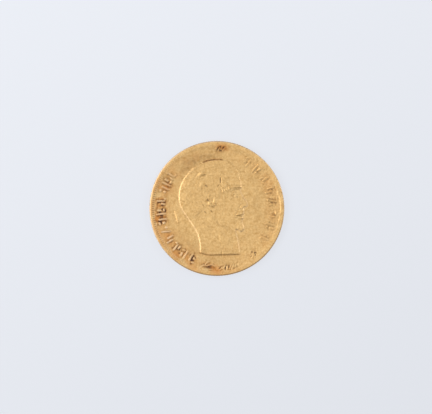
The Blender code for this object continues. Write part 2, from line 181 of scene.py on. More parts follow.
def inside_distance(loop: Array, x: Array, y: Array) -> Array:
    """Distance to a closed line, positive inside it and negative outside.

    Args:
        loop: Points of the line, as rows of x and y.
        x: Places across.
        y: Places upwards.

    Returns:
        The distance at each place.
    """
    nearest = np.full(x.shape, np.inf)
    inside = np.zeros(x.shape, dtype=bool)
    for start, end in zip(loop, np.roll(loop, -1, axis=0)):
        nearest = np.minimum(nearest, nearest_on(start, end, x, y)[1])
        if start[1] != end[1]:
            crossing = start[0] + (y - start[1]) * (end[0] - start[0]) / (end[1] - start[1])
            inside ^= ((start[1] > y) != (end[1] > y)) & (x < crossing)
    return np.where(inside, nearest, -nearest)


def beside(path: Path, x: Array, y: Array) -> Array:
    """Distance to an open line, positive on its right and negative on its left.

    Args:
        path: Points of the line, in order.
        x: Places across.
        y: Places upwards.

    Returns:
        The distance at each place.
    """
    away = np.full(x.shape, np.inf)
    points = np.array(path)
    for start, end in zip(points, points[1:]):
        distance = nearest_on(start, end, x, y)[1]
        run = end - start
        hand = np.sign(run[1] * (x - start[0]) - run[0] * (y - start[1]))
        away = np.where(distance < np.abs(away), distance * hand, away)
    return away


@dataclass
class Sheet:
    """A sheet of points over one face, or over the head.

    Args:
        low: Lowest x and y.
        high: Highest x and y.
        pitch: Distance between neighbouring points.
    """

    low: Place
    high: Place
    pitch: float
    x: Array = field(init=False)
    y: Array = field(init=False)

    def __post_init__(self) -> None:
        """Lays out the points."""
        across = np.arange(self.low[0], self.high[0] + self.pitch / 2, self.pitch)
        up = np.arange(self.low[1], self.high[1] + self.pitch / 2, self.pitch)
        self.x, self.y = np.meshgrid(across, up)

    def blank(self) -> Array:
        """A layer of zeros."""
        return np.zeros_like(self.x)

    def radius(self) -> Array:
        """Distance of each point from the coin's centre."""
        return np.hypot(self.x, self.y)

    def turned(self, angle: float) -> Array:
        """Degrees of each point from an angle around the coin, from -180 to 180."""
        turn = np.degrees(np.arctan2(-self.x, -self.y))
        return (turn - angle + 180.0) % 360.0 - 180.0

    def soften(self, layer: Array, size: float, size_up: float | None = None) -> Array:
        """Blurs a layer.

        Args:
            layer: The layer to blur.
            size: Width of the blur across, as a standard deviation.
            size_up: Width of the blur upwards, if it differs.

        Returns:
            The blurred layer.
        """
        rows, columns = layer.shape
        up = np.fft.fftfreq(rows, self.pitch)[:, None]
        across = np.fft.rfftfreq(columns, self.pitch)[None, :]
        spread = (across * size) ** 2 + (up * (size if size_up is None else size_up)) ** 2
        keep = np.exp(-2.0 * math.pi**2 * spread)
        return np.fft.irfft2(np.fft.rfft2(layer) * keep, s=layer.shape)

    def mottle(self, seed: int, size: float, size_up: float | None = None) -> Array:
        """Soft random patches with a mean of 0 and a spread of 1.

        Args:
            seed: Seed of the pattern.
            size: Size of the patches across.
            size_up: Size of the patches upwards, if it differs.

        Returns:
            The layer of patches.
        """
        grain = np.random.default_rng(seed).standard_normal(self.x.shape)
        patches = self.soften(grain, size, size_up)
        return (patches - patches.mean()) / patches.std()

    def crest(self, path: Path, width: float, taper: Place = (1.0, 1.0), sharp: float = 1.0) -> Array:
        """A rounded ridge of height 1 along a path.

        Args:
            path: Points of the ridge, in the sheet's own units.
            width: Half width of the ridge at its fullest.
            taper: Share of the width that is left at the start and at the end.
            sharp: Power of the rounded profile; below 1 is flatter, above 1 is sharper.

        Returns:
            The layer with the ridge.
        """
        layer = self.blank()
        points = np.array(path)
        rows, columns = self.window(points.min(axis=0) - width, points.max(axis=0) + width)
        x, y = self.x[rows, columns], self.y[rows, columns]
        if x.size == 0:
            return layer
        best = np.zeros_like(x)
        runs = len(points) - 1
        for k in range(runs):
            share, away = nearest_on(points[k], points[k + 1], x, y)
            swell = np.interp((k + share) / runs, (0.0, 0.5, 1.0), (taper[0], 1.0, taper[1]))
            profile = np.clip(1.0 - (away / (width * swell)) ** 2, 0.0, None) ** sharp
            best = np.maximum(best, profile * np.sqrt(swell))
        layer[rows, columns] = best
        return layer

    def window(self, low: Array, high: Array) -> tuple[slice, slice]:
        """Rows and columns of the points between two corners.

        Args:
            low: Lower corner.
            high: Higher corner.

        Returns:
            The slices of the rows and of the columns.
        """
        spots = []
        for axis in (1, 0):
            first = int(math.floor((low[axis] - self.low[axis]) / self.pitch))
            last = int(math.ceil((high[axis] - self.low[axis]) / self.pitch)) + 1
            spots.append(slice(max(first, 0), max(last, 0)))
        return spots[0], spots[1]

    def hollows(self, height: Array, size: float, depth: float) -> Array:
        """Where a face lies lower than around it, from 0 to 1; minus the height gives its tops."""
        return np.clip((self.soften(height, size) - height) / depth, 0.0, 1.0)

    def read(self, layer: Array, x: Array, y: Array) -> Array:
        """Reads a layer between its points.

        Args:
            layer: The layer to read.
            x: Places across.
            y: Places upwards.

        Returns:
            The layer's value at each place.
        """
        across = np.clip((x - self.low[0]) / self.pitch, 0.0, layer.shape[1] - 1.001)
        up = np.clip((y - self.low[1]) / self.pitch, 0.0, layer.shape[0] - 1.001)
        i, j = across.astype(int), up.astype(int)
        fx, fy = across - i, up - j
        near = layer[j, i] * (1 - fx) + layer[j, i + 1] * fx
        far = layer[j + 1, i] * (1 - fx) + layer[j + 1, i + 1] * fx
        return near * (1 - fy) + far * fy


@dataclass(frozen=True)
class Mass:
    """One rounded mass or soft hollow of the head, seen from the side, in head heights.

    Args:
        centre: Its middle, forwards and upwards.
        half: Half sizes along and across its lean.
        depth: How far it swells out, or how deep it is.
        lean: Degrees that it leans back from level.
    """

    centre: Place
    half: Place
    depth: float
    lean: float = 0.0

    def away(self, head: Sheet) -> Array:
        """Squared distance from the middle, with 1 at the mass's edge."""
        turn = math.radians(self.lean)
        du, dv = head.x - self.centre[0], head.y - self.centre[1]
        p = (du * math.cos(turn) + dv * math.sin(turn)) / self.half[0]
        q = (dv * math.cos(turn) - du * math.sin(turn)) / self.half[1]
        return p**2 + q**2

    def swell(self, head: Sheet) -> Array:
        """Depth of the mass, an ellipsoid."""
        return self.depth * np.sqrt(np.clip(1.0 - self.away(head), 0.0, None))

    def dip(self, head: Sheet) -> Array:
        """Depth of a soft hollow of the mass's size."""
        return self.depth * np.exp(-self.away(head))


@dataclass(frozen=True)
class Fold:
    """A rounded ridge or groove along a bow, in head heights.

    Args:
        start: Where it starts.
        bend: The place that it bows towards.
        end: Where it ends.
        half_width: Half its width at its fullest.
        rise: Its height; a groove has a negative one.
        taper: Share of the width left at its two ends.
    """

    start: Place
    bend: Place
    end: Place
    half_width: float
    rise: float
    taper: Place

    def laid(self, head: Sheet) -> Array:
        """Height of the fold over the head."""
        return self.rise * head.crest(bow(self.start, self.bend, self.end), self.half_width, self.taper)


@dataclass(frozen=True)
class Tuft:
    """Strands of hair side by side, in head heights.

    Args:
        first: The first strand's start, bend and end.
        steps: How far the start, the bend and the end move from strand to strand.
        count: Number of strands.
        half_width: Half a strand's width.
        rise: Height of a strand.
        taper: Share of the width that is left at a strand's two ends.
    """

    first: Bow
    steps: Bow
    count: int
    half_width: float
    rise: float
    taper: Place

    def laid(self, head: Sheet) -> Array:
        """Height of the tuft over the head."""
        first, steps = np.array(self.first), np.array(self.steps)
        layer = head.blank()
        for k in range(self.count):
            spots = [tuple(spot) for spot in first + k * steps]
            strand = Fold(*spots, self.half_width, self.rise, self.taper)
            layer = np.maximum(layer, strand.laid(head))
        return layer


HEAD_MASSES = (
    Mass((0.40, 0.62), (0.47, 0.42), 0.330),  # skull under the hair
    Mass((0.60, 0.60), (0.32, 0.36), 0.300),  # brow and temple
    Mass((0.64, 0.30), (0.28, 0.36), 0.270, 10),  # cheek
    Mass((0.69, 0.415), (0.16, 0.10), 0.285, -10),  # cheekbone
    Mass((0.62, 0.16), (0.27, 0.20), 0.245, -14),  # jaw
    Mass((0.80, 0.23), (0.13, 0.14), 0.165),  # mouth
    Mass((0.81, 0.075), (0.115, 0.105), 0.140),  # chin
    Mass((0.805, 0.615), (0.09, 0.055), 0.200, -8),  # ridge of the brow
    Mass((0.885, 0.44), (0.055, 0.17), 0.085, 28),  # bridge of the nose
    Mass((0.925, 0.362), (0.055, 0.043), 0.100),  # tip of the nose
    Mass((0.882, 0.338), (0.045, 0.036), 0.135),  # wing of the nose
    Mass((0.56, -0.22), (0.36, 0.62), 0.235, 4),  # neck
    Mass((0.36, 0.14), (0.30, 0.34), 0.215),  # nape
)

FACE_HOLLOWS = (
    Mass((0.825, 0.525), (0.055, 0.045), 0.050),  # inner corner of the eye
    Mass((0.740, 0.500), (0.070, 0.050), 0.020),  # under the lid
    Mass((0.918, 0.333), (0.016, 0.008), 0.030, -15),  # nostril
    Mass((0.865, 0.145), (0.040, 0.016), 0.018),  # over the chin
)

FACE_FOLDS = (
    Fold((0.738, 0.502), (0.792, 0.556), (0.836, 0.530), 0.013, 0.024, (0.5, 0.9)),  # upper lid
    Fold((0.742, 0.500), (0.790, 0.476), (0.826, 0.494), 0.010, 0.016, (0.4, 0.8)),  # lower lid
    Fold((0.695, 0.588), (0.775, 0.648), (0.860, 0.612), 0.021, 0.022, (0.4, 0.9)),  # brow
    Fold((0.720, 0.546), (0.776, 0.598), (0.846, 0.568), 0.012, -0.014, (0.4, 0.6)),  # fold of the lid
    Fold((0.862, 0.372), (0.842, 0.335), (0.868, 0.312), 0.011, -0.022, (0.5, 0.6)),  # behind the nose
    Fold((0.845, 0.325), (0.800, 0.270), (0.790, 0.200), 0.018, -0.014, (0.7, 0.3)),  # cheek and mouth
    Fold((0.800, 0.222), (0.860, 0.238), (0.905, 0.235), 0.016, 0.018, (0.3, 1.0)),  # upper lip
    Fold((0.805, 0.200), (0.860, 0.180), (0.900, 0.190), 0.017, 0.018, (0.3, 1.0)),  # lower lip
    Fold((0.788, 0.208), (0.850, 0.214), (0.895, 0.216), 0.009, -0.032, (0.6, 1.0)),  # between the lips
)

EYE = Mass((0.806, 0.511), (0.036, 0.026), 0.034)

EAR_SHELL = Mass((0.462, 0.435), (0.062, 0.092), 0.024)
EAR_BOWL = Mass((0.468, 0.432), (0.021, 0.031), 0.052)
EAR_FOLDS = (
    Fold((0.500, 0.455), (0.515, 0.538), (0.452, 0.534), 0.017, 0.042, (0.6, 1.0)),  # rim, front
    Fold((0.452, 0.534), (0.385, 0.520), (0.412, 0.430), 0.017, 0.042, (1.0, 1.0)),  # rim, back
    Fold((0.412, 0.430), (0.428, 0.372), (0.462, 0.348), 0.017, 0.042, (1.0, 0.8)),  # rim, foot
    Fold((0.485, 0.495), (0.430, 0.500), (0.450, 0.405), 0.014, 0.026, (0.6, 0.9)),  # inner fold
    Fold((0.487, 0.435), (0.504, 0.415), (0.480, 0.395), 0.016, 0.032, (0.8, 0.7)),  # lip of the bowl
    Fold((0.455, 0.372), (0.475, 0.336), (0.494, 0.372), 0.019, 0.036, (0.8, 0.8)),  # lobe
)

NECK_MUSCLE = Fold((0.41, 0.20), (0.56, -0.02), (0.74, -0.33), 0.060, 0.030, (0.7, 1.0))
THROAT = Mass((0.735, -0.12), (0.05, 0.13), 0.024, 15)
JAW = ((0.485, 0.235), (0.590, 0.005), (0.840, -0.010))

MOUSTACHE = Tuft(
    ((0.906, 0.300), (0.850, 0.318), (0.758, 0.252)),
    ((-0.005, -0.007), (0.002, -0.020), (-0.002, -0.013)),
    6, 0.0125, 0.034, (0.9, 0.25),
)
TEMPLE_LOCKS = Tuft(
    ((0.540, 0.705), (0.680, 0.700), (0.712, 0.575)),
    ((0.004, -0.026), (-0.020, -0.024), (-0.034, -0.014)),
    4, 0.017, 0.041, (0.5, 0.3),
)
CHIN_BEARD = Tuft(
    ((0.884, 0.136), (0.912, 0.060), (0.892, -0.020)),
    ((-0.013, -0.006), (-0.016, 0.000), (-0.016, 0.004)),
    6, 0.0115, 0.032, (0.5, 0.4),
)


@dataclass
class Hair:
    """Short hair in tiers of sickle-shaped locks that part at the whorl, in head heights.

    Args:
        centre: The place that the locks turn around.
        reach: How far the hair reaches from it.
        forelock: How much further it reaches over the forehead.
        forelock_angle: Degrees from level to the forelock.
        whorl: Degrees from level to the whorl.
        tiers: The tiers, as shares of the hair's reach.
        lock_pitch: Distance between the starts of neighbouring locks.
        forward_spread: Degrees of hair from the whorl forwards.
        nape_spread: Degrees of hair from the whorl down to the nape.
        edge: Width of the hairline's soft edge.
        base: Height of the hair under the locks.
        lock_rise: Height of a lock over that.
        strand_rise: Height of the strands in a lock.
        strand_waves: The strands' waves in radians, over the reach and for each degree.
        strand_sway: How far chance shifts them, in radians, and the size of its patches.
        kept_place: Where wear has left the most of the locks.
        kept_size: Size of that place.
        kept_elsewhere: Share of the locks' height that is left elsewhere.
        seed: Seed of the locks' small differences.
    """

    centre: Place = (0.46, 0.50)
    reach: float = 0.455
    forelock: float = 0.075
    forelock_angle: float = 60.0
    whorl: float = 128.0
    tiers: tuple[float, ...] = (0.94, 0.82, 0.70, 0.58, 0.46, 0.34)
    lock_pitch: float = 0.112
    forward_spread: float = 86.0
    nape_spread: float = 106.0
    edge: float = 0.022
    base: float = 0.008
    lock_rise: float = 0.046
    strand_rise: float = 0.006
    strand_waves: Place = (150.0, 0.82)
    strand_sway: Place = (1.5, 0.03)
    kept_place: Place = (0.36, 0.86)
    kept_size: float = 0.26
    kept_elsewhere: float = 0.40
    seed: int = 5

    def reach_at(self, angle: Array | float) -> Array | float:
        """Reach of the hair at an angle, longest over the forehead."""
        towards = np.clip(np.cos(np.radians(angle - self.forelock_angle)), 0.0, None)
        return self.reach + self.forelock * towards**2

    def place(self, angle: float, tier: float) -> Place:
        """A place in the hair, at an angle and on a tier."""
        turn, reach = math.radians(angle), tier * float(self.reach_at(angle))
        return (self.centre[0] + reach * math.cos(turn), self.centre[1] + reach * math.sin(turn))

    def cover(self, head: Sheet) -> Array:
        """Where hair grows, from 0 to 1; the line runs wide of the head behind and above it."""
        hairline = (
            (0.800, 0.885), (0.748, 0.842), (0.712, 0.790), (0.690, 0.720), (0.650, 0.660),
            (0.600, 0.610), (0.575, 0.530), (0.562, 0.450), (0.545, 0.385), (0.522, 0.390),
            (0.520, 0.470), (0.500, 0.548), (0.440, 0.562), (0.392, 0.525), (0.380, 0.430),
            (0.372, 0.350), (0.310, 0.270), (0.240, 0.205),
        )
        beyond = ((0.150, 0.150), (-0.20, 0.00), (-0.30, 1.30), (1.20, 1.30), (0.95, 1.02))
        corners = tuple(range(len(hairline), len(hairline + beyond)))
        line = smooth_loop(hairline + beyond, corners)
        return smooth_step(inside_distance(line, head.x, head.y) / self.edge)

    def locks(self, head: Sheet) -> Array:
        """The locks, from 0 between them to 1 on their crests."""
        chance = np.random.default_rng(self.seed)
        layer = head.blank()
        for tier in self.tiers:
            step = math.degrees(self.lock_pitch / (tier * self.reach))
            for direction, spread in ((-1, self.forward_spread), (1, self.nape_spread)):
                for k in range(round(spread / step) + 1):
                    begin = self.whorl + direction * (k + chance.uniform(-0.35, -0.05)) * step
                    swing = direction * step * chance.uniform(1.7, 2.3)
                    start = tier + chance.uniform(-0.03, 0.03)
                    bend = self.place(begin + 0.55 * swing, start + chance.uniform(0.06, 0.11))
                    path = bow(self.place(begin, start), bend, self.place(begin + swing, start - 0.18), 8)
                    lock = head.crest(path, chance.uniform(0.027, 0.036), (0.55, 0.15), 0.8)
                    layer = np.maximum(layer, lock * chance.uniform(0.7, 1.0))
        return layer

    def laid(self, head: Sheet) -> tuple[Array, Array]:
        """Height of the hair over the skull.

        Args:
            head: The sheet over the head.

        Returns:
            The hair's height in head heights, and its cover from 0 to 1.
        """
        cover, locks = self.cover(head), self.locks(head)
        turned = np.degrees(np.arctan2(head.y - self.centre[1], head.x - self.centre[0]))
        from_whorl = np.abs((turned - self.whorl + 180.0) % 360.0 - 180.0)
        across = np.hypot(head.x - self.centre[0], head.y - self.centre[1]) / self.reach_at(turned)
        over_reach, for_degree = self.strand_waves
        sway, sway_size = self.strand_sway
        strands = np.sin(over_reach * across + for_degree * from_whorl + sway * head.mottle(8, sway_size))
        kept = Mass(self.kept_place, (self.kept_size, self.kept_size), 1.0 - self.kept_elsewhere).dip(head)
        kept = kept + self.kept_elsewhere
        return (self.base + kept * locks * (self.lock_rise + self.strand_rise * strands)) * cover, cover


@dataclass
class Portrait:
    """A calm, bareheaded profile of nobody, on textbook proportions, worn down in its middle.

    It is laid out in head heights: upwards from the chin's level (0) to the crown (1), and
    forwards from the back of the head (0).

    Args:
        head_height: Chin to crown, in millimetres.
        head_back: The back of the head, across the coin.
        chin_level: The chin's level, up the coin.
        cut_level: Level of the cut of the neck, in head heights.
        outline_rise: Height of the step around the outline.
        outline_slope: Width of that step's slope.
        form_rise: How far the head's rounded form rises over that step.
        form_depth: Depth of the form that counts as full, in head heights.
        form_blend: Power that blends the head's masses; less is softer.
        form_fullness: Power of the form's rounding; less is fuller.
        wear: Share of the form that wear has left.
        wear_softness: How softly the worn plane starts.
        detail_gain: Height of a feature on the coin for each head height that it stands out.
        face_gain: How much clearer the face's features are than the rest.
        ear_kept: Share of the ear's height that wear has left.
        hair_margin: Distance inside the outline over which the worn hair fades in.
        patchy: How unevenly wear has left the details.
        patch_size: Size of that unevenness, in head heights.
        low: Lower left corner of the head's sheet, in head heights.
        high: Its upper right corner.
        margin: Width of the sheet's border that isn't used.
    """

    head_height: float = 10.05
    head_back: float = -5.31
    chin_level: float = -3.18
    cut_level: float = -0.333
    outline_rise: float = 0.040
    outline_slope: float = 0.11
    form_rise: float = 0.030
    form_depth: float = 0.36
    form_blend: int = 7
    form_fullness: float = 0.75
    wear: float = 0.80
    wear_softness: float = 0.16
    detail_gain: float = 1.7
    face_gain: float = 1.35
    ear_kept: float = 0.55
    hair_margin: float = 1.10
    patchy: float = 0.25
    patch_size: float = 0.05
    low: Place = (-0.06, -0.40)
    high: Place = (1.02, 1.06)
    margin: float = 0.01

    def outline(self) -> Array:
        """The profile, the cut of the neck and the back of the head, as one closed line."""
        crown = ((0.313, 0.953), (0.460, 0.996), (0.600, 1.000), (0.700, 0.975), (0.780, 0.905))
        forehead = ((0.832, 0.810), (0.860, 0.705), (0.874, 0.628), (0.862, 0.565))
        nose = ((0.900, 0.480), (0.957, 0.388), (0.950, 0.350), (0.903, 0.322))
        mouth = ((0.912, 0.280), (0.903, 0.240), (0.886, 0.218), (0.900, 0.188), (0.884, 0.148))
        chin = ((0.900, 0.090), (0.905, 0.020), (0.868, -0.012), (0.804, 0.022), (0.822, -0.110))
        level = self.cut_level
        cut = ((0.862, level + 0.004), (0.620, level), (0.390, level), (0.292, level + 0.030))
        nape = ((0.284, -0.148), (0.246, -0.020), (0.176, 0.100), (0.092, 0.218))
        back = ((0.021, 0.336), (-0.003, 0.454), (0.015, 0.620), (0.080, 0.754), (0.176, 0.860))
        face = crown + forehead + nose + mouth + chin
        corners = (len(face), len(face) + len(cut) - 1)
        return smooth_loop(face + cut + nape + back, corners)

    def form(self, head: Sheet) -> Array:
        """The head's rounded form, worn down to a soft plane, from 0 to about 1."""
        power = self.form_blend
        depth = sum(mass.swell(head) ** power for mass in HEAD_MASSES) ** (1 / power)
        rise = (depth / self.form_depth) ** self.form_fullness
        t = np.clip(0.5 + 0.5 * (self.wear - rise) / self.wear_softness, 0.0, 1.0)
        return self.wear + (rise - self.wear) * t - self.wear_softness * t * (1.0 - t)

    def face(self, head: Sheet) -> Array:
        """Height of the face's features, moustache and chin beard over the form."""
        layer = sum(fold.laid(head) for fold in FACE_FOLDS)
        layer = layer - sum(hollow.dip(head) for hollow in FACE_HOLLOWS)
        layer += EYE.depth * np.clip(1.0 - EYE.away(head), 0.0, None) ** 0.6
        tufts = [tuft.laid(head) for tuft in (MOUSTACHE, CHIN_BEARD, TEMPLE_LOCKS)]
        return layer + np.maximum.reduce(tufts)

    def neck(self, head: Sheet) -> Array:
        """Height of the neck's muscle and hollow, and the fall under the jaw's edge."""
        layer = NECK_MUSCLE.laid(head) - THROAT.dip(head)
        under = beside(bow(*JAW, 24), head.x, head.y)
        falls = smooth_step(under / 0.024 + 0.5) * np.exp(-((np.clip(under, 0.0, None) / 0.060) ** 2))
        reach = smooth_step((head.x - 0.46) / 0.10) * smooth_step((0.86 - head.x) / 0.05)
        return layer - 0.022 * falls * reach

    def ear(self, head: Sheet) -> Array:
        """Height of the ear over the form."""
        shell = np.clip(3.0 * (1.0 - EAR_SHELL.away(head)), 0.0, 1.0)
        layer = EAR_SHELL.depth * shell - EAR_BOWL.dip(head)
        return layer + np.maximum.reduce([fold.laid(head) for fold in EAR_FOLDS])

    def struck(self, face: Sheet) -> tuple[Array, Array]:
        """The portrait on its face.

        Args:
            face: The sheet over the whole face.

        Returns:
            The portrait's height over the field, and the distance inside its outline.
        """
        head = Sheet(self.low, self.high, face.pitch / self.head_height)
        inside = inside_distance(self.outline(), head.x, head.y) * self.head_height
        hair, cover = Hair().laid(head)
        detail = self.face_gain * self.face(head) * (1.0 - cover) + self.neck(head)
        detail += self.ear_kept * self.ear(head) + hair * smooth_step(inside / self.hair_margin)
        detail *= 1.0 - self.patchy + self.patchy * head.mottle(11, self.patch_size)
        raised = self.outline_rise + self.form_rise * self.form(head) + self.detail_gain * detail
        height = smooth_step(inside / self.outline_slope) * raised
        outside = -self.head_height
        return self.on_face(face, head, height, 0.0), self.on_face(face, head, inside, outside)

    def on_face(self, face: Sheet, head: Sheet, layer: Array, elsewhere: float) -> Array:
        """A layer of the head's sheet, read at the points of the whole face's sheet.

        Args:
            face: The sheet over the whole face.
            head: The sheet over the head.
            layer: The layer.
            elsewhere: Its value off the head's sheet.

        Returns:
            The layer on the face's sheet.
        """
        u = (face.x - self.head_back) / self.head_height
        v = (face.y - self.chin_level) / self.head_height
        within = (u > self.low[0] + self.margin) & (u < self.high[0] - self.margin)
        within &= (v > self.low[1] + self.margin) & (v < self.high[1] - self.margin)
        return np.where(within, head.read(layer, u, v), elsewhere)


@dataclass(frozen=True)
class Stroke:
    """One stroke of a sign, in heights of the inscription.

    Args:
        shift: Place of its middle along the ring, from the sign's middle.
        foot: Where it starts up the ring's height.
        head: Where it ends.
        lean: How far its head is shifted along the ring from its foot.
        half_width: Half its width.
    """

    shift: float
    foot: float
    head: float
    lean: float = 0.0
    half_width: float = 0.11


SIGNS = (
    (
        Stroke(-0.26, 0.00, 1.00, 0.00, 0.13),
        Stroke(0.20, 0.60, 0.86, 0.02, 0.13),
        Stroke(0.22, 0.14, 0.16, 0.16, 0.11),
    ),
    (
        Stroke(-0.12, 0.02, 0.96, 0.34, 0.13),
        Stroke(0.36, 0.26, 0.30, 0.04, 0.14),
    ),
    (
        Stroke(-0.30, 0.12, 0.44, 0.04, 0.13),
        Stroke(0.04, 0.20, 1.00, -0.06, 0.12),
        Stroke(0.38, 0.10, 0.14, 0.10, 0.12),
    ),
    (
        Stroke(-0.22, 0.88, 0.90, 0.20, 0.11),
        Stroke(0.24, 0.00, 0.80, 0.04, 0.13),
        Stroke(-0.24, 0.32, 0.40, 0.02, 0.14),
    ),
    (
        Stroke(-0.20, 0.32, 1.00, 0.02, 0.13),
        Stroke(0.22, 0.00, 0.64, 0.02, 0.13),
    ),
)


@dataclass
class Signs:
    """Signs of shallow strokes that stand where the coin has words, and that spell nothing.

    Args:
        outer: Radius of the signs' heads.
        height: Height of a sign.
        arcs: First and last sign's angle, and the number of signs, of each arc.
        flatness: Power of a stroke's rounded profile.
        stray: How far a sign may stand from its even place, in degrees.
        kept: Least and greatest share of a sign's height that wear has left.
        lean_stray: How much a stroke's lean may differ.
        width_stray: Least and greatest share of a stroke's width.
        seed: Seed of these small differences.
    """

    outer: float = 8.45
    height: float = 1.18
    arcs: tuple[tuple[float, float, int], ...] = ((26.0, 97.0, 8), (110.0, 126.0, 3), (213.0, 301.0, 8))
    flatness: float = 0.55
    stray: float = 0.4
    kept: Place = (0.75, 1.0)
    lean_stray: float = 0.04
    width_stray: Place = (0.85, 1.1)
    seed: int = 17

    def place(self, angle: float, shift: float, up: float) -> Place:
        """A place by a sign, in sign heights along the ring from its middle and up from its foot."""
        turn = angle + shift * math.degrees(self.height / self.outer)
        return around(turn, self.outer - self.height + up * self.height)

    def struck(self, face: Sheet) -> Array:
        """The signs of all arcs, from 0 to 1, each as worn as its place."""
        chance = np.random.default_rng(self.seed)
        layer = face.blank()
        for first, last, count in self.arcs:
            for k in range(count):
                angle = first + (last - first) * k / (count - 1) + chance.uniform(-self.stray, self.stray)
                kept = chance.uniform(*self.kept)
                for stroke in SIGNS[(k * 2 + count) % len(SIGNS)]:
                    lean = stroke.lean + chance.uniform(-self.lean_stray, self.lean_stray)
                    low = self.place(angle, stroke.shift - lean / 2, stroke.foot)
                    high = self.place(angle, stroke.shift + lean / 2, stroke.head)
                    half_width = stroke.half_width * self.height * chance.uniform(*self.width_stray)
                    bar = face.crest([low, high], half_width, (1.0, 1.0), self.flatness)
                    layer = np.maximum(layer, kept * bar)
        return layer


@dataclass(frozen=True)
class Device:
    """A small device drawn in strokes.

    Args:
        angle: Its angle.
        radius: Distance of its middle from the coin's centre.
        strokes: Start, bend and end of each stroke, from its middle.
        steps: Number of straight pieces in a stroke.
        half_width: Half a stroke's width.
        taper: Share of the width that is left at a stroke's two ends.
        flatness: Power of a stroke's rounded profile.
    """

    angle: float
    radius: float
    strokes: tuple[Bow, ...]
    steps: int
    half_width: float
    taper: Place
    flatness: float = 0.7

    def struck(self, face: Sheet) -> Array:
        """The device, from 0 to 1."""
        layer = face.blank()
        middle = np.array(around(self.angle, self.radius))
        for stroke in self.strokes:
            path = bow(*(tuple(middle + spot) for spot in stroke), self.steps)
            layer = np.maximum(layer, face.crest(path, self.half_width, self.taper, self.flatness))
        return layer


def star_rays(reach: float, turn: float) -> tuple[Bow, ...]:
    """Three strokes through one middle, by half a stroke's length and the first one's turn."""
    turns = [turn + k * math.pi / 3 for k in range(3)]
    rays = [(reach * math.cos(angle), reach * math.sin(angle)) for angle in turns]
    return tuple(((-x, -y), (0.0, 0.0), (x, y)) for x, y in rays)


STAR = Device(322.0, 8.22, star_rays(0.42, 0.3), 2, 0.09, (0.6, 0.6))

SPRIG_LEAVES = (
    ((-1.15, -0.26), (-0.65, 0.34), (-0.10, 0.02)),
    ((-0.38, 0.10), (-0.20, 0.60), (0.30, 0.62)),
    ((-0.10, 0.02), (0.50, 0.36), (1.00, -0.06)),
    ((-0.60, -0.40), (0.10, -0.52), (0.70, -0.42)),
)
SPRIG = Device(9.0, 8.18, SPRIG_LEAVES, 8, 0.13, (0.7, 0.5))


@dataclass
class Specks:
    """The row of small marks at the foot, worn down to specks that all lean one way.

    Args:
        first: Angle of the first speck.
        step: Degrees to the next one.
        count: Number of specks.
        stray: How far a speck may stand from its even place, in degrees.
        foot: Least and greatest radius of a speck's foot.
        length: Least and greatest length.
        lean: Least and greatest degrees that its two ends lean from its middle.
        half_width: Least and greatest half width.
        taper: Share of the width left at its two ends.
        flatness: Power of its rounded profile.
        kept: Share of its height that wear has left.
        seed: Seed of the specks' small differences.
    """

    first: float = -21.0
    step: float = 2.9
    count: int = 8
    stray: float = 0.5
    foot: Place = (8.05, 8.40)
    length: Place = (0.15, 0.45)
    lean: Place = (0.3, 1.3)
    half_width: Place = (0.09, 0.15)
    taper: Place = (1.0, 0.8)
    flatness: float = 0.6
    kept: float = 0.7
    seed: int = 18

    def struck(self, face: Sheet) -> Array:
        """The specks, from 0 to 1."""
        chance = np.random.default_rng(self.seed)
        layer = face.blank()
        for k in range(self.count):
            angle = self.first + k * self.step + chance.uniform(-self.stray, self.stray)
            foot = chance.uniform(*self.foot)
            head = foot + chance.uniform(*self.length)
            lean = chance.uniform(*self.lean)
            path = [around(angle - lean, foot), around(angle + lean, head)]
            speck = face.crest(path, chance.uniform(*self.half_width), self.taper, self.flatness)
            layer = np.maximum(layer, self.kept * speck)
        return layer


@dataclass
class CrownMarks:
    """The short strokes over the crown.

    Args:
        angle: Angle of their middle.
        marks: Degrees of each stroke from there, and the radii of its foot and of its head.
        lean: Degrees that a stroke's two ends lean from its middle.
        half_width: Half its width.
        taper: Share of the width left at its two ends.
        flatness: Power of its rounded profile.
        kept: Share of its height that wear has left.
    """

    angle: float = 183.0
    marks: tuple[tuple[float, float, float], ...] = (
        (-3.4, 8.30, 8.80),
        (-1.0, 8.15, 8.55),
        (1.6, 8.35, 8.85),
        (3.8, 8.20, 8.55),
    )
    lean: float = 0.7
    half_width: float = 0.14
    taper: Place = (1.0, 0.8)
    flatness: float = 0.8
    kept: float = 0.7

    def struck(self, face: Sheet) -> Array:
        """The strokes, from 0 to 1."""
        layer = face.blank()
        for shift, foot, head in self.marks:
            angle = self.angle + shift
            path = [around(angle - self.lean, foot), around(angle + self.lean, head)]
            mark = face.crest(path, self.half_width, self.taper, self.flatness)
            layer = np.maximum(layer, self.kept * mark)
        return layer


@dataclass
class Inscription:
    """The ring of strokes and marks that stands where the coin has words.

    Args:
        rise: Height of a fresh stroke over the field.
    """

    rise: float = 0.068

    def struck(self, face: Sheet) -> Array:
        """Height of the strokes and marks over the field."""
        parts = (Signs(), STAR, SPRIG, Specks(), CrownMarks())
        return self.rise * np.maximum.reduce([part.struck(face) for part in parts])


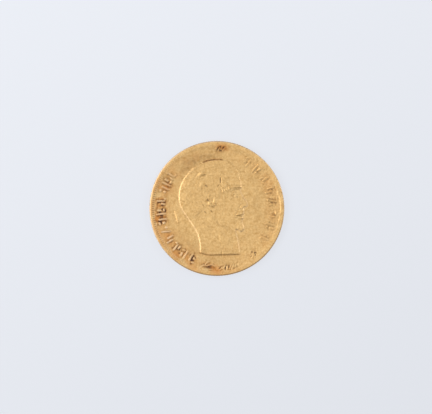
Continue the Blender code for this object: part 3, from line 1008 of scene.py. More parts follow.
@dataclass
class BeadRing:
    """A ring of small beads inside the rim, which wear has taken from most of the coin.

    Args:
        count: Number of beads.
        inner: Radius of the ring's inside.
        outer: Radius of its outside.
        rise: Height of a fresh bead.
        edge: Width of the beads' soft ends.
        fullness: How steeply a bead's sides rise to its flat top.
    """

    count: int = 200
    inner: float = 8.80
    outer: float = 9.08
    rise: float = 0.085
    edge: float = 0.07
    fullness: float = 1.5

    def band(self, face: Sheet) -> Array:
        """The ring that the beads stand in, from 0 to 1."""
        radius = face.radius()
        starts = smooth_step((radius - self.inner) / self.edge)
        return starts * smooth_step((self.outer + self.edge - radius) / self.edge)

    def wave(self, face: Sheet) -> Array:
        """Rises from 0 between two beads to 1 on a bead."""
        return 0.5 - 0.5 * np.cos(np.radians(face.turned(0.0)) * self.count)

    def struck(self, face: Sheet) -> Array:
        """Height of the beads over the field."""
        return self.rise * self.band(face) * np.clip(self.wave(face) * self.fullness, 0.0, 1.0)

    def gaps(self, face: Sheet) -> Array:
        """The hollows between the beads, from 0 to 1."""
        return self.band(face) * (1.0 - self.wave(face))


@dataclass
class Rim:
    """The raised rim of a face, and the field's soft rise towards it.

    Args:
        inner: Radius where the slope has reached the rim.
        slope: Width of the slope where the rim is sharpest.
        worn_slope: Width of the slope where the rim is worn.
        sharp_angle: Angle around which the rim is sharpest.
        sharp_spread: Half the length of that sharp stretch, in degrees.
        rise: Height of the rim over the field.
        dish_radius: Radius where the field starts to rise.
        dish_rise: How far it has risen at a sharp rim.
        worn_dish_rise: How far it has risen at a worn one.
    """

    inner: float = 9.04
    slope: float = 0.20
    worn_slope: float = 0.85
    sharp_angle: float = 268.0
    sharp_spread: float = 26.0
    rise: float = FIELD_DEPTH
    dish_radius: float = 5.5
    dish_rise: float = 0.142
    worn_dish_rise: float = 0.149

    def struck(self, face: Sheet) -> Array:
        """Height of the rim and of the dished edge of the field before it."""
        radius = face.radius()
        sharp = np.exp(-((face.turned(self.sharp_angle) / self.sharp_spread) ** 2))
        width = self.worn_slope + (self.slope - self.worn_slope) * sharp
        dish_rise = self.worn_dish_rise + (self.dish_rise - self.worn_dish_rise) * sharp
        slope = smooth_step((radius - self.inner + width) / width)
        dish = np.clip((radius - self.dish_radius) / (self.inner - self.dish_radius), 0.0, 1.0) ** 2
        return (self.rise - dish_rise) * slope + dish_rise * dish


@dataclass
class Branch:
    """One leafed branch of the wreath on the back, with berries between its leaves.

    Args:
        side: 1 for the left branch and -1 for the right one.
        radius: Radius of the stem.
        start: Angle from the foot where the leaves start.
        end: Angle where they end.
        crossing: Degrees that the stem reaches past the foot.
        stem_width: Half the width of the stem.
        stem_share: Height of the stem, as a share of a leaf's.
        leaf_length: Length of a leaf.
        leaf_width: Width of a leaf.
        leaf_fill: Share of that width that is raised.
        leaf_pitch: Distance between two pairs of leaves, in leaf lengths.
        splay: Degrees between a leaf and the stem.
        leaf_bow: How far a leaf bows away from the stem, in its lengths.
        midrib: Half the width of a leaf's groove, and its share of the leaf's height.
        berry_size: Radius of a berry.
        berry_share: Height of a berry, as a share of a leaf's.
        berry_place: Its share of the way between two pairs of leaves, and its distance from the stem.
    """

    side: float
    radius: float = 7.29
    start: float = 13.0
    end: float = 158.0
    crossing: float = 10.0
    stem_width: float = 0.12
    stem_share: float = 0.6
    leaf_length: float = 1.60
    leaf_width: float = 0.62
    leaf_fill: float = 0.96
    leaf_pitch: float = 0.92
    splay: float = 33.0
    leaf_bow: float = 0.10
    midrib: Place = (0.055, 0.45)
    berry_size: float = 0.15
    berry_share: float = 0.75
    berry_place: Place = (0.62, 0.52)

    @property
    def clear(self) -> float:
        """Radius inside which there are no leaves."""
        return self.radius - self.leaf_length * math.sin(math.radians(self.splay))

    def struck(self, face: Sheet) -> Array:
        """The branch, from 0 to 1."""
        pitch = math.degrees(self.leaf_length * self.leaf_pitch / self.radius)
        pairs = int((self.end - self.start) / pitch)
        turns = np.arange(-self.crossing, self.start + pairs * pitch, 3.0)
        stem = [around(self.side * turn, self.radius) for turn in turns]
        layer = self.stem_share * face.crest(stem, self.stem_width, (1.0, 0.5), 0.6)
        ahead, aside = self.berry_place
        for k in range(pairs + 1):
            angle = self.start + k * pitch
            for hand in (-1.0, 1.0):
                layer = np.maximum(layer, self.leaf(face, angle, hand))
                if k < pairs:
                    spot = around(self.side * (angle + ahead * pitch), self.radius + hand * aside)
                    berry = face.crest([spot, spot], self.berry_size)
                    layer = np.maximum(layer, self.berry_share * berry)
        return layer

    def leaf(self, face: Sheet, angle: float, hand: float) -> Array:
        """One leaf, pointed at both ends, with a groove for its midrib.

        Args:
            face: The sheet over the face.
            angle: Degrees of its base from the foot.
            hand: Which side of the stem it is on, 1 outwards or -1 inwards.

        Returns:
            The leaf's height, from 0 to 1.
        """
        turn = math.radians(self.side * angle)
        along = np.array((-math.cos(turn), math.sin(turn))) * self.side
        outward = np.array((-math.sin(turn), -math.cos(turn)))
        splay = math.radians(self.splay) * hand
        run = (along * math.cos(splay) + outward * math.sin(splay)) * self.leaf_length
        base = np.array(around(self.side * angle, self.radius))
        bend = base + run * 0.5 + outward * self.leaf_bow * hand * self.leaf_length
        path = bow(tuple(base), tuple(bend), tuple(base + run), 10)
        blade = face.crest(path, self.leaf_width / 2 * self.leaf_fill, (0.25, 0.05), 0.75)
        width, depth = self.midrib
        return np.clip(blade - depth * face.crest(path, width, (1.0, 0.3)), 0.0, None)


@dataclass
class Tie:
    """The ribbon that ties the wreath's branches at the foot.

    Args:
        knot: The knot's bow, with each place as its angle from the foot and its radius.
        loop: The left loop's bow.
        tail: The left tail's bow.
        knot_width: Half the width of the knot.
        width: Half the width of the ribbon.
        tail_share: Height of a tail, as a share of the knot's.
    """

    knot: Bow = ((-3.0, 7.6), (0.0, 7.2), (3.0, 7.6))
    loop: Bow = ((0.0, 7.3), (7.0, 6.1), (4.5, 7.1))
    tail: Bow = ((0.0, 7.4), (4.0, 7.9), (7.5, 8.3))
    knot_width: float = 0.16
    width: float = 0.12
    tail_share: float = 0.9

    def struck(self, face: Sheet) -> Array:
        """The ribbon, from 0 to 1."""
        layer = face.crest(self.path(self.knot, 1.0), self.knot_width)
        for side in (-1.0, 1.0):
            loop = face.crest(self.path(self.loop, side), self.width, (0.8, 0.8))
            tail = face.crest(self.path(self.tail, side), self.width, (1.0, 0.6))
            layer = np.maximum(layer, np.maximum(loop, self.tail_share * tail))
        return layer

    def path(self, ribbon: Bow, side: float) -> Path:
        """The bow of a piece of ribbon, on the left (1) or mirrored to the right (-1)."""
        return bow(*(around(side * angle, radius) for angle, radius in ribbon))


@dataclass
class Rows:
    """Three rows of strokes inside the wreath, where the coin has words on its back.

    Args:
        clear: Radius inside which there are no leaves.
        levels: The rows' places, in row pitches up from the centre.
        pitch: Distance between two rows.
        stroke: Length of a full stroke.
        short_stroke: Length of every second stroke, as a share of a full one.
        gap: Space between a row's ends and the leaves.
        stroke_pitch: Distance between neighbouring strokes, at least.
        half_widths: Half the width of a full stroke and of a short one.
    """

    clear: float
    levels: tuple[int, ...] = (-1, 0, 1)
    pitch: float = 1.75
    stroke: float = 1.05
    short_stroke: float = 0.475
    gap: float = 0.35
    stroke_pitch: float = 0.805
    half_widths: Place = (0.15, 0.11)

    def struck(self, face: Sheet) -> Array:
        """The rows, from 0 to 1; short strokes hang from a row's top or stand on its foot."""
        layer = face.blank()
        for row in self.levels:
            level = row * self.pitch
            half = math.sqrt(self.clear**2 - (abs(level) + self.stroke / 2) ** 2) - self.gap
            count = 2 * int(half / self.stroke_pitch)
            for k in range(count + 1):
                across = half * (2 * k / count - 1)
                low, high = level - self.stroke / 2, level + self.stroke / 2
                if k % 4 == 1:
                    low = high - self.short_stroke * self.stroke
                elif k % 4 == 3:
                    high = low + self.short_stroke * self.stroke
                path = [(across, low), (across, high)]
                layer = np.maximum(layer, face.crest(path, self.half_widths[k % 2], (1.0, 1.0), 0.6))
        return layer


@dataclass
class Wreath:
    """Two branches of paired leaves around rows of strokes, for the back.

    Args:
        rise: Height of a fresh leaf.
        stroke_rise: Height of a stroke.
    """

    rise: float = 0.12
    stroke_rise: float = 0.095

    def struck(self, face: Sheet) -> Array:
        """Height of the leaves, stems and rows over the field."""
        branches = [Branch(side) for side in (-1.0, 1.0)]
        parts = [part.struck(face) for part in (Tie(), *branches)]
        rows = Rows(branches[0].clear).struck(face)
        return self.rise * np.maximum.reduce(parts) + self.stroke_rise * rows


@dataclass(frozen=True)
class Dent:
    """A scratch, a nick or a raised burr on the portrait side.

    Args:
        start: One end.
        stop: The other end.
        half_width: Half its width.
        rise: Its height; a cut has a negative one.
        stain: How much dirt lies in it.
    """

    start: Place
    stop: Place
    half_width: float
    rise: float
    stain: float = 0.0


DENTS = (
    Dent((-5.85, -0.42), (-5.42, -2.12), 0.10, 0.070),
    Dent((0.495, 4.30), (0.50, 3.62), 0.12, -0.040, 0.85),
    Dent((0.30, 3.35), (0.05, 2.95), 0.09, -0.030, 0.5),
    Dent((-1.62, 3.26), (-1.32, 3.08), 0.14, -0.030, 0.7),
    Dent((-1.30, 1.30), (-1.12, 0.96), 0.12, -0.030, 0.8),
    Dent((-2.00, 0.62), (-1.86, 0.30), 0.10, -0.026, 0.5),
    Dent((-1.72, -0.42), (-1.50, -0.66), 0.12, -0.026, 0.6),
    Dent((-0.86, -0.30), (-0.62, -0.52), 0.12, -0.026, 0.6),
    Dent((-0.20, 0.70), (-0.02, 0.42), 0.10, -0.026, 0.5),
    Dent((0.736, -5.75), (0.736, -6.80), 0.09, -0.040, 0.15),
    Dent((0.81, -8.90), (0.83, -9.45), 0.11, -0.028, 0.1),
    Dent((-3.05, -6.86), (-2.95, -7.06), 0.15, -0.030, 0.8),
    Dent((5.05, -3.96), (5.05, -3.97), 0.35, -0.012),
)


@dataclass(frozen=True)
class Stain:
    """A soft patch of dirt, toning or rubbed metal, around an angle and a radius.

    Args:
        angle: Angle of its middle.
        radius: Distance of its middle from the centre.
        half_angle: Half its length around the coin, in degrees.
        half_depth: Half its depth across the ring.
        strength: How strong it is in its middle.
    """

    angle: float
    radius: float
    half_angle: float
    half_depth: float
    strength: float

    def spread(self, face: Sheet) -> Array:
        """The patch, falling off softly from its middle."""
        away = (face.turned(self.angle) / self.half_angle) ** 2
        away = away + ((face.radius() - self.radius) / self.half_depth) ** 2
        return self.strength * np.exp(-away)


# Half size of a stain that reaches all around the coin, or right across its face
WHOLE = 1000.0

LEGEND_DIRT = (
    Stain(26.0, 7.9, 4.0, 0.8, 1.20),
    Stain(44.0, 7.9, 15.0, 0.8, 0.85),
    Stain(77.0, 7.9, 4.5, 0.9, 1.10),
    Stain(87.0, 7.9, 5.0, 0.9, 1.60),
    Stain(98.0, 7.9, 5.0, 0.9, 1.40),
    Stain(118.0, 7.8, 11.0, 0.8, 0.85),
    Stain(183.0, 8.5, 6.0, 0.6, 1.50),
    Stain(226.0, 7.9, 16.0, 0.8, 0.50),
    Stain(262.0, 7.9, 24.0, 0.8, 0.68),
    Stain(296.0, 7.9, 12.0, 0.8, 0.70),
    Stain(321.0, 8.2, 4.5, 0.6, 1.30),
    Stain(9.0, 8.2, 8.0, 0.8, 0.80),
    Stain(355.0, 8.5, 4.0, 0.5, 1.10),
    Stain(346.0, 8.4, 8.0, 0.5, 0.90),
    Stain(88.0, 9.0, 34.0, 0.35, 0.45),
    Stain(90.0, 8.0, 12.0, 0.7, 0.20),
)

TONING = (
    Stain(83.5, 8.7, 4.0, 0.50, 1.00),
    Stain(84.0, 7.9, 24.0, 0.8, 0.36),
    Stain(9.0, 8.2, 9.0, 0.6, 0.36),
    Stain(92.0, 9.0, 34.0, 0.9, 0.50),
    Stain(20.0, 8.9, 30.0, 0.8, 0.35),
    Stain(352.0, 8.9, 16.0, 0.7, 0.25),
    Stain(183.0, 8.5, 7.0, 0.55, 0.75),
    Stain(118.0, 7.8, 13.0, 0.9, 0.40),
    Stain(46.0, 7.9, 22.0, 0.9, 0.30),
    Stain(152.0, 7.6, 20.0, 1.0, 0.25),
    Stain(40.0, 7.2, 80.0, 1.5, 0.12),
    Stain(256.0, 7.9, 50.0, 0.9, 0.28),
)

SMUDGES = (
    Stain(0.0, 6.4, WHOLE, 1.4, 0.12),
    Stain(175.0, 2.6, 70.0, 1.6, 0.16),
    Stain(165.0, 7.4, 17.0, 0.65, 0.80),
    Stain(145.0, 7.3, 12.0, 1.0, 0.70),
    Stain(183.0, 8.5, 5.0, 0.40, 0.85),
    Stain(219.0, 6.7, 18.0, 1.1, 0.12),
    Stain(262.0, 5.8, 26.0, 1.2, 0.20),
    Stain(38.0, 6.6, 20.0, 1.2, 0.34),
    Stain(357.0, 7.4, 20.0, 0.9, 0.30),
)


def together(stains: tuple[Stain, ...], face: Sheet) -> Array:
    """All of the stains on one layer."""
    return sum(stain.spread(face) for stain in stains)


@dataclass(frozen=True)
class Mottle:
    """One grain of soft random patches.

    Args:
        seed: Seed of its pattern.
        size: Size of its patches.
        share: Its spread.
    """

    seed: int
    size: float
    share: float

    def over(self, face: Sheet) -> Array:
        """The patches over a sheet, with a mean of 0."""
        return self.share * face.mottle(self.seed, self.size)


def patchy(face: Sheet, level: float, grains: tuple[Mottle, ...]) -> Array:
    """Patches from 0 to 1 around a middle level."""
    return smooth_step(level + sum(grain.over(face) for grain in grains))


@dataclass(frozen=True)
class OutlineStretch:
    """A stretch of the portrait's outline that is drawn darker, or paler as a painted highlight, in a box
    with soft ends.

    Args:
        across: Left and right side of the box.
        upwards: Foot and head of the box.
        fades: Width of the box's soft ends at its sides, its foot and its head.
        shift: How far inside the outline it runs.
        strength: How dark the line is, or how strong its painted highlight is.
    """

    across: Place
    upwards: Place
    fades: tuple[float, float, float]
    shift: float
    strength: float

    def laid(self, face: Sheet, inside: Array, half_width: float) -> Array:
        """The stretch as a soft line.

        Args:
            face: The sheet over the face.
            inside: Distance inside the portrait's outline.
            half_width: Half the line's width.

        Returns:
            The line, from 0 to the strength.
        """
        side, foot, head = self.fades
        box = smooth_step((face.x - self.across[0]) / side) * smooth_step((self.across[1] - face.x) / side)
        box = box * smooth_step((face.y - self.upwards[0]) / foot)
        box = box * smooth_step((self.upwards[1] - face.y) / head)
        return self.strength * box * np.exp(-(((inside - self.shift) / half_width) ** 2))


DARK_LINES = (
    OutlineStretch((-2.2, 1.0), (6.0, 9.5), (0.5, 0.3, 0.3), -0.01, 0.85),  # over the crown
    OutlineStretch((-2.8, 3.4), (-6.85, -6.15), (0.5, 0.1, 0.1), -0.01, 0.42),  # cut of the neck
)
# Painted highlight: a pale line just inside the portrait's outline, fading out towards the crown
PAINTED_HIGHLIGHT_LINE = OutlineStretch((-9.5, 9.5), (-6.2, 6.0), (0.5, 0.3, 3.6), 0.045, 0.34)


@dataclass
class Relief:
    """Everything that a face's mesh carries, on one sheet.

    Args:
        face: The sheet.
        height: Height over the field.
        patina: The finish's layers, each from 0 to 1.
    """

    face: Sheet
    height: Array
    patina: dict[Layer, Array]


@dataclass
class PortraitPatina:
    """Dirt, toning and rubbed metal of the portrait side, with a painted shade along the edge and painted
    highlights along the outline and on the rim's upper left side.

    Args:
        face: The sheet over the face.
        height: The face's height.
        inside: Distance inside the portrait's outline.
        dents: Dirt in the dents.
        broken: Grains that break up the dirt.
        broken_share: Least share of the legend's dirt, and what the patches add to it.
        line_share: The same for the dark lines.
        legend_hollow: Reach of the look around the legend's hollows, and a full one's depth.
        head_hollow: The same for the portrait's hollows.
        tone_hollow: The same for the reddened hollows.
        legend_limit: Greatest strength of the legend's dirt.
        dark_line: Half the width of the dark lines.
        ear_dirt: Where the portrait is dirtiest, in millimetres.
        head_dirt: Dirt in the rest of the portrait.
        head_margin: Where that dirt starts inside the outline, and the width of its edge.
        smudge_grains: Grains of the smudges.
        smudge_share: Least strength of the smudges, and what the patches add to it.
        bead_dirt: Where the gaps between the beads are dirty.
        edge_line: Where the edge gets a painted shade.
        edge_width: Width of that painted shade line, and of its soft side.
        tone_grain: Grain of the toning.
        tone_share: Middle strength of the toning.
        red: Reddening of the hollows around the legend.
        red_everywhere: The same on the rest of the face.
        red_line: Strength of the red by the dark lines, and half its width.
        rubbed: Where the strokes' tops are rubbed.
        rubbed_top: Reach of the look around those tops, and a full one's height.
        rim_start: Radius where the rubbed and highlighted rim starts, and the width of its soft side.
        rim_rub_and_highlight: How rubbed the rim is all around, and the painted highlight that its upper
            left side adds.
        rim_side: Middle, half length and fade of that painted highlight, in degrees.
        line_width: Half the width of the painted highlight along the outline.
    """

    face: Sheet
    height: Array
    inside: Array
    dents: Array
    broken: tuple[Mottle, ...] = (Mottle(53, 0.10, 0.45), Mottle(54, 0.3, 0.25))
    broken_share: Place = (0.35, 0.85)
    line_share: Place = (0.6, 0.5)
    legend_hollow: Place = (0.16, 0.012)
    head_hollow: Place = (0.12, 0.014)
    tone_hollow: Place = (0.22, 0.010)
    legend_limit: float = 1.3
    dark_line: float = 0.078
    ear_dirt: Mass = Mass((-0.95, 0.9), (1.2, 1.5), 0.75)
    head_dirt: float = 0.25
    head_margin: Place = (0.4, 0.5)
    smudge_grains: tuple[Mottle, ...] = (Mottle(61, 0.13, 0.5),)
    smudge_share: Place = (0.22, 0.20)
    bead_dirt: Stain = Stain(92.0, 9.0, 42.0, 0.6, 0.62)
    # Painted shade along the edge's lower right, carried in the dirt layer
    edge_line: Stain = Stain(342.0, RADIUS, 72.0, WHOLE, 0.55)
    edge_width: Place = (0.22, 0.08)
    tone_grain: Mottle = Mottle(67, 0.3, 0.35)
    tone_share: float = 0.7
    red: Stain = Stain(62.0, 8.0, 75.0, WHOLE, 0.46)
    red_everywhere: float = 0.12
    red_line: Place = (0.6, 0.12)
    rubbed: Stain = Stain(70.0, 8.0, 62.0, 0.9, 0.75)
    rubbed_top: Place = (0.22, 0.012)
    rim_start: Place = (9.26, 0.16)
    rim_rub_and_highlight: Place = (0.30, 0.45)
    rim_side: tuple[float, float, float] = (135.0, 110.0, 40.0)
    line_width: float = 0.08

    def layers(self) -> dict[Layer, Array]:
        """All three layers, each from 0 to 1."""
        dirt = np.maximum(self.hollow_dirt() + self.smudges(), self.dents)
        # The dirt layer also takes the painted shade along the edge.
        dirt = np.clip(np.maximum(dirt, self.painted_edge_shade()), 0.0, 1.0)
        toning = np.clip(self.toning(), 0.0, 1.0)
        # The rub layer also carries the painted highlights along the outline and on the rim's upper left
        # side.
        return {Layer.DIRT: dirt, Layer.TONING: toning, Layer.RUB: self.rub() * (1.0 - dirt)}

    def dark_lines(self, half_width: float) -> Array:
        """The darker lines over the crown and along the neck's cut end, with half a width."""
        return sum(line.laid(self.face, self.inside, half_width) for line in DARK_LINES)

    def hollow_dirt(self) -> Array:
        """Dirt in the legend, in the portrait and between the beads, and the darker lines over the crown
        and the neck's cut.
        """
        face = self.face
        broken = patchy(face, 0.5, self.broken)
        strength = np.clip(together(LEGEND_DIRT, face), 0.0, self.legend_limit)
        least, more = self.broken_share
        dirt = face.hollows(self.height, *self.legend_hollow) * strength * (least + more * broken)
        least, more = self.line_share
        dirt += self.dark_lines(self.dark_line) * (least + more * broken)
        margin, fade = self.head_margin
        portrait = (self.head_dirt + self.ear_dirt.dip(face)) * smooth_step((self.inside - margin) / fade)
        dirt += portrait * face.hollows(self.height, *self.head_hollow) * broken
        return dirt + BeadRing().gaps(face) * self.bead_dirt.spread(face)

    def smudges(self) -> Array:
        """The soft brown smudges on the fields."""
        least, more = self.smudge_share
        return together(SMUDGES, self.face) * (least + more * patchy(self.face, 0.35, self.smudge_grains))

    def painted_edge_shade(self) -> Array:
        """Painted shade: a thin darker line at the edge, from the upper right round to the foot, on the
        side turned from the lights.
        """
        width, fade = self.edge_width
        return smooth_step((self.face.radius() - RADIUS + width) / fade) * self.edge_line.spread(self.face)

    def toning(self) -> Array:
        """The red toning, from 0 upwards."""
        face = self.face
        toning = together(TONING, face) * (self.tone_share + self.tone_grain.over(face))
        red = self.red_everywhere + self.red.spread(face)
        hollows = face.hollows(self.height, *self.tone_hollow)
        toning += red * hollows * np.clip(together(LEGEND_DIRT, face), 0.0, 1.0)
        strength, half_width = self.red_line
        return toning + strength * self.dark_lines(half_width)

    def rub(self) -> Array:
        """Where the strokes' tops and the rim are rubbed pale, with painted highlights on the rim's upper
        left side and along the outline, from 0 to 1.
        """
        face = self.face
        tops = face.hollows(-self.height, *self.rubbed_top) * self.rubbed.spread(face)
        start, fade = self.rim_start
        rim = smooth_step((face.radius() - start) / fade)
        # The rim is rubbed pale all around, and its upper left side gets a painted highlight on top
        least, more = self.rim_rub_and_highlight
        angle, half_length, fade = self.rim_side
        rim = rim * (least + more * smooth_step((half_length - np.abs(face.turned(angle))) / fade))
        # Painted highlight along the outline
        line = PAINTED_HIGHLIGHT_LINE.laid(face, self.inside, self.line_width)
        return np.clip(np.maximum.reduce([tops, rim, line]), 0.0, 1.0)


@dataclass
class Striking:
    """What both faces share: the sheet that a face is struck on, and its worn fields.

    Args:
        reach: Half the side of the sheet.
        pitch: Distance between points of the sheet.
        wave: Unevenness of the worn fields.
        wave_grains: Size across, size upwards and share of each of its grains.
        wave_fade: Width over which the unevenness ends.
    """

    reach: float = 9.6
    pitch: float = 0.03
    wave: float = 0.0050
    wave_grains: tuple[tuple[float, float, float], ...] = (
        (0.55, 0.55, 1.0),
        (0.22, 0.22, 0.8),
        (0.085, 0.085, 0.50),
        (0.065, 0.45, 0.45),
    )
    wave_fade: float = 0.3

    def sheet(self) -> Sheet:
        """A new sheet over a face."""
        return Sheet((-self.reach, -self.reach), (self.reach, self.reach), self.pitch)

    def waves(self, face: Sheet, seed: int, border: float) -> Array:
        """Soft unevenness of a worn face.

        Args:
            face: The sheet over the face.
            seed: Seed of the first grain.
            border: Radius where the unevenness ends.

        Returns:
            Its height.
        """
        layer = face.blank()
        for k, (across, upwards, share) in enumerate(self.wave_grains):
            layer += share * face.mottle(seed + k, across, upwards)
        return self.wave * layer * smooth_step((border - face.radius()) / self.wave_fade)


@dataclass
class PortraitSide(Striking):
    """The portrait side; its inscription and beads are best kept on the left.

    Args:
        best_angle: Angle around which they are best kept.
        best_reach: Degrees from there without further wear.
        worn_over: Degrees over which the wear then grows to its full.
        legend_kept: Middle share of the legend's height that is left at best.
        legend_grains: Grains of the legend's wear.
        legend_lost: Share of its height that full wear takes.
        beads_kept: Share of the beads' height that is left at best.
        beads_lost: How much less full wear leaves.
        beads_haste: How much faster the beads wear away than the legend.
        softness: How softly wear has rounded the relief.
        dent_taper: Share of a dent's width that is left at its two ends.
        wave_seed: Seed of the fields' unevenness.
        wave_border: Radius where it ends.
    """

    best_angle: float = 78.0
    best_reach: float = 20.0
    worn_over: float = 130.0
    legend_kept: float = 0.85
    legend_grains: tuple[Mottle, ...] = (Mottle(31, 0.4, 0.12), Mottle(32, 0.12, 0.08))
    legend_lost: float = 0.32
    beads_kept: float = 0.90
    beads_lost: float = 0.85
    beads_haste: float = 1.3
    softness: float = 0.035
    dent_taper: Place = (0.8, 0.6)
    wave_seed: int = 41
    wave_border: float = 9.3

    def strike(self) -> Relief:
        """Strikes the portrait side, and wears, dents and stains it."""
        face = self.sheet()
        portrait, inside = Portrait().struck(face)
        far = smooth_step((np.abs(face.turned(self.best_angle)) - self.best_reach) / self.worn_over)
        height = np.maximum(portrait, self.legend(face, far)) + self.beads(face, far) + Rim().struck(face)
        height = face.soften(np.minimum(height, FIELD_DEPTH), self.softness)
        dents, dirty_dents = self.dents(face)
        height += dents + self.waves(face, self.wave_seed, self.wave_border)
        return Relief(face, height, PortraitPatina(face, height, inside, dirty_dents).layers())

    def legend(self, face: Sheet, far: Array) -> Array:
        """Height of the worn legend, with the distance from its best kept place from 0 to 1."""
        kept = self.legend_kept + sum(grain.over(face) for grain in self.legend_grains)
        return Inscription().struck(face) * (1.0 - self.legend_lost * far) * kept

    def beads(self, face: Sheet, far: Array) -> Array:
        """Height of the worn beads, with the same distance."""
        lost = self.beads_lost * smooth_step(far * self.beads_haste)
        return BeadRing().struck(face) * (self.beads_kept - lost)

    def dents(self, face: Sheet) -> tuple[Array, Array]:
        """The dents' height, and the dirt in them."""
        height, dirt = face.blank(), face.blank()
        for dent in DENTS:
            mark = face.crest([dent.start, dent.stop], dent.half_width, self.dent_taper)
            height += dent.rise * mark
            dirt = np.maximum(dirt, dent.stain * mark)
        return height, dirt


@dataclass
class BackSide(Striking):
    """The back, in keeping with the portrait side and plainer.

    Args:
        beads: The ring of beads, coarser than on the portrait side.
        bead_grain: Grain of the beads' wear.
        beads_kept: Middle share of their height that is left.
        rim: The rim, with a narrower slope and a lower dish.
        softness: How softly wear has rounded the relief.
        wave_seed: Seed of the fields' unevenness.
        wave_border: Radius where it ends.
        hollow: Reach of the look around the hollows, and a full one's depth.
        top: The same for the rubbed tops.
        broken: Grain that breaks up the dirt.
        dirt: Least share of the dirt, and what the patches add to it.
        tone_start: Radius where the toning starts, and the width over which it grows.
        tone_grain: Grain of the toning.
        tone: Its middle share.
        tone_most: Its greatest strength.
        rub: Strength of the rubbed metal.
    """

    beads: BeadRing = field(default_factory=lambda: BeadRing(count=128))
    bead_grain: Mottle = Mottle(71, 0.8, 0.15)
    beads_kept: float = 0.75
    rim: Rim = field(
        default_factory=lambda: Rim(dish_radius=7.0, dish_rise=0.10, worn_dish_rise=0.10, worn_slope=0.40)
    )
    softness: float = 0.055
    wave_seed: int = 73
    wave_border: float = 9.0
    hollow: Place = (0.16, 0.03)
    top: Place = (0.25, 0.02)
    broken: tuple[Mottle, ...] = (Mottle(79, 0.12, 0.45),)
    dirt: Place = (0.25, 0.6)
    tone_start: Place = (6.5, 2.5)
    tone_grain: Mottle = Mottle(83, 0.9, 0.5)
    tone: float = 0.5
    tone_most: float = 0.30
    rub: float = 0.6

    def strike(self) -> Relief:
        """Strikes, wears and stains the back."""
        face = self.sheet()
        beads = self.beads.struck(face) * (self.beads_kept + self.bead_grain.over(face))
        height = np.maximum(Wreath().struck(face), beads) + self.rim.struck(face)
        height = face.soften(np.minimum(height, FIELD_DEPTH), self.softness)
        height += self.waves(face, self.wave_seed, self.wave_border)
        return Relief(face, height, self.patina(face, height))

    def patina(self, face: Sheet, height: Array) -> dict[Layer, Array]:
        """Dirt, toning and rubbed metal of the back.

        Args:
            face: The sheet over the face.
            height: The face's height.

        Returns:
            The layers, each from 0 to 1.
        """
        least, more = self.dirt
        start, width = self.tone_start
        tone = self.tone_most * smooth_step((face.radius() - start) / width)
        broken = patchy(face, 0.5, self.broken)
        layers = {
            Layer.DIRT: face.hollows(height, *self.hollow) * (least + more * broken),
            Layer.TONING: tone * (self.tone + self.tone_grain.over(face)),
            Layer.RUB: self.rub * face.hollows(-height, *self.top),
        }
        return {layer: np.clip(values, 0.0, 1.0) for layer, values in layers.items()}


@dataclass
class RingGrid:
    """A disc of four-sided faces: square rings of points, each bent into a circle.

    Args:
        radii: Radius of each ring, the centre's 0 first.
    """

    radii: Array

    @property
    def rings(self) -> int:
        """Number of rings around the centre point."""
        return len(self.radii) - 1

    def index(self, column: Array, row: Array) -> Array:
        """Number of the point at a column and a row, both counted from the centre."""
        ring = np.maximum(np.abs(column), np.abs(row))
        bottom = (row == -ring) & (column > -ring)
        right = (column == ring) & ~bottom
        top = (row == ring) & ~right & ~bottom
        step = np.select(
            [bottom, right, top],
            [column + ring, 3 * ring + row, 5 * ring - column],
            7 * ring - row,
        )
        step = step % np.maximum(8 * ring, 1)
        return np.where(ring == 0, 0, 1 + 4 * ring * (ring - 1) + step)

    def places(self) -> tuple[Array, Array]:
        """x and y of every point; each ring starts at its lower left corner."""
        x, y = [np.zeros(1)], [np.zeros(1)]
        for ring in range(1, self.rings + 1):
            turn = RING_START + 2.0 * math.pi * np.arange(8 * ring) / (8 * ring)
            x.append(self.radii[ring] * np.cos(turn))
            y.append(self.radii[ring] * np.sin(turn))
        return np.concatenate(x), np.concatenate(y)

    def quads(self) -> Array:
        """Point numbers of every face, counter-clockwise from above."""
        span = np.arange(-self.rings, self.rings)
        column, row = (part.ravel() for part in np.meshgrid(span, span))
        corners = ((0, 0), (1, 0), (1, 1), (0, 1))
        return np.stack([self.index(column + i, row + j) for i, j in corners], axis=1)


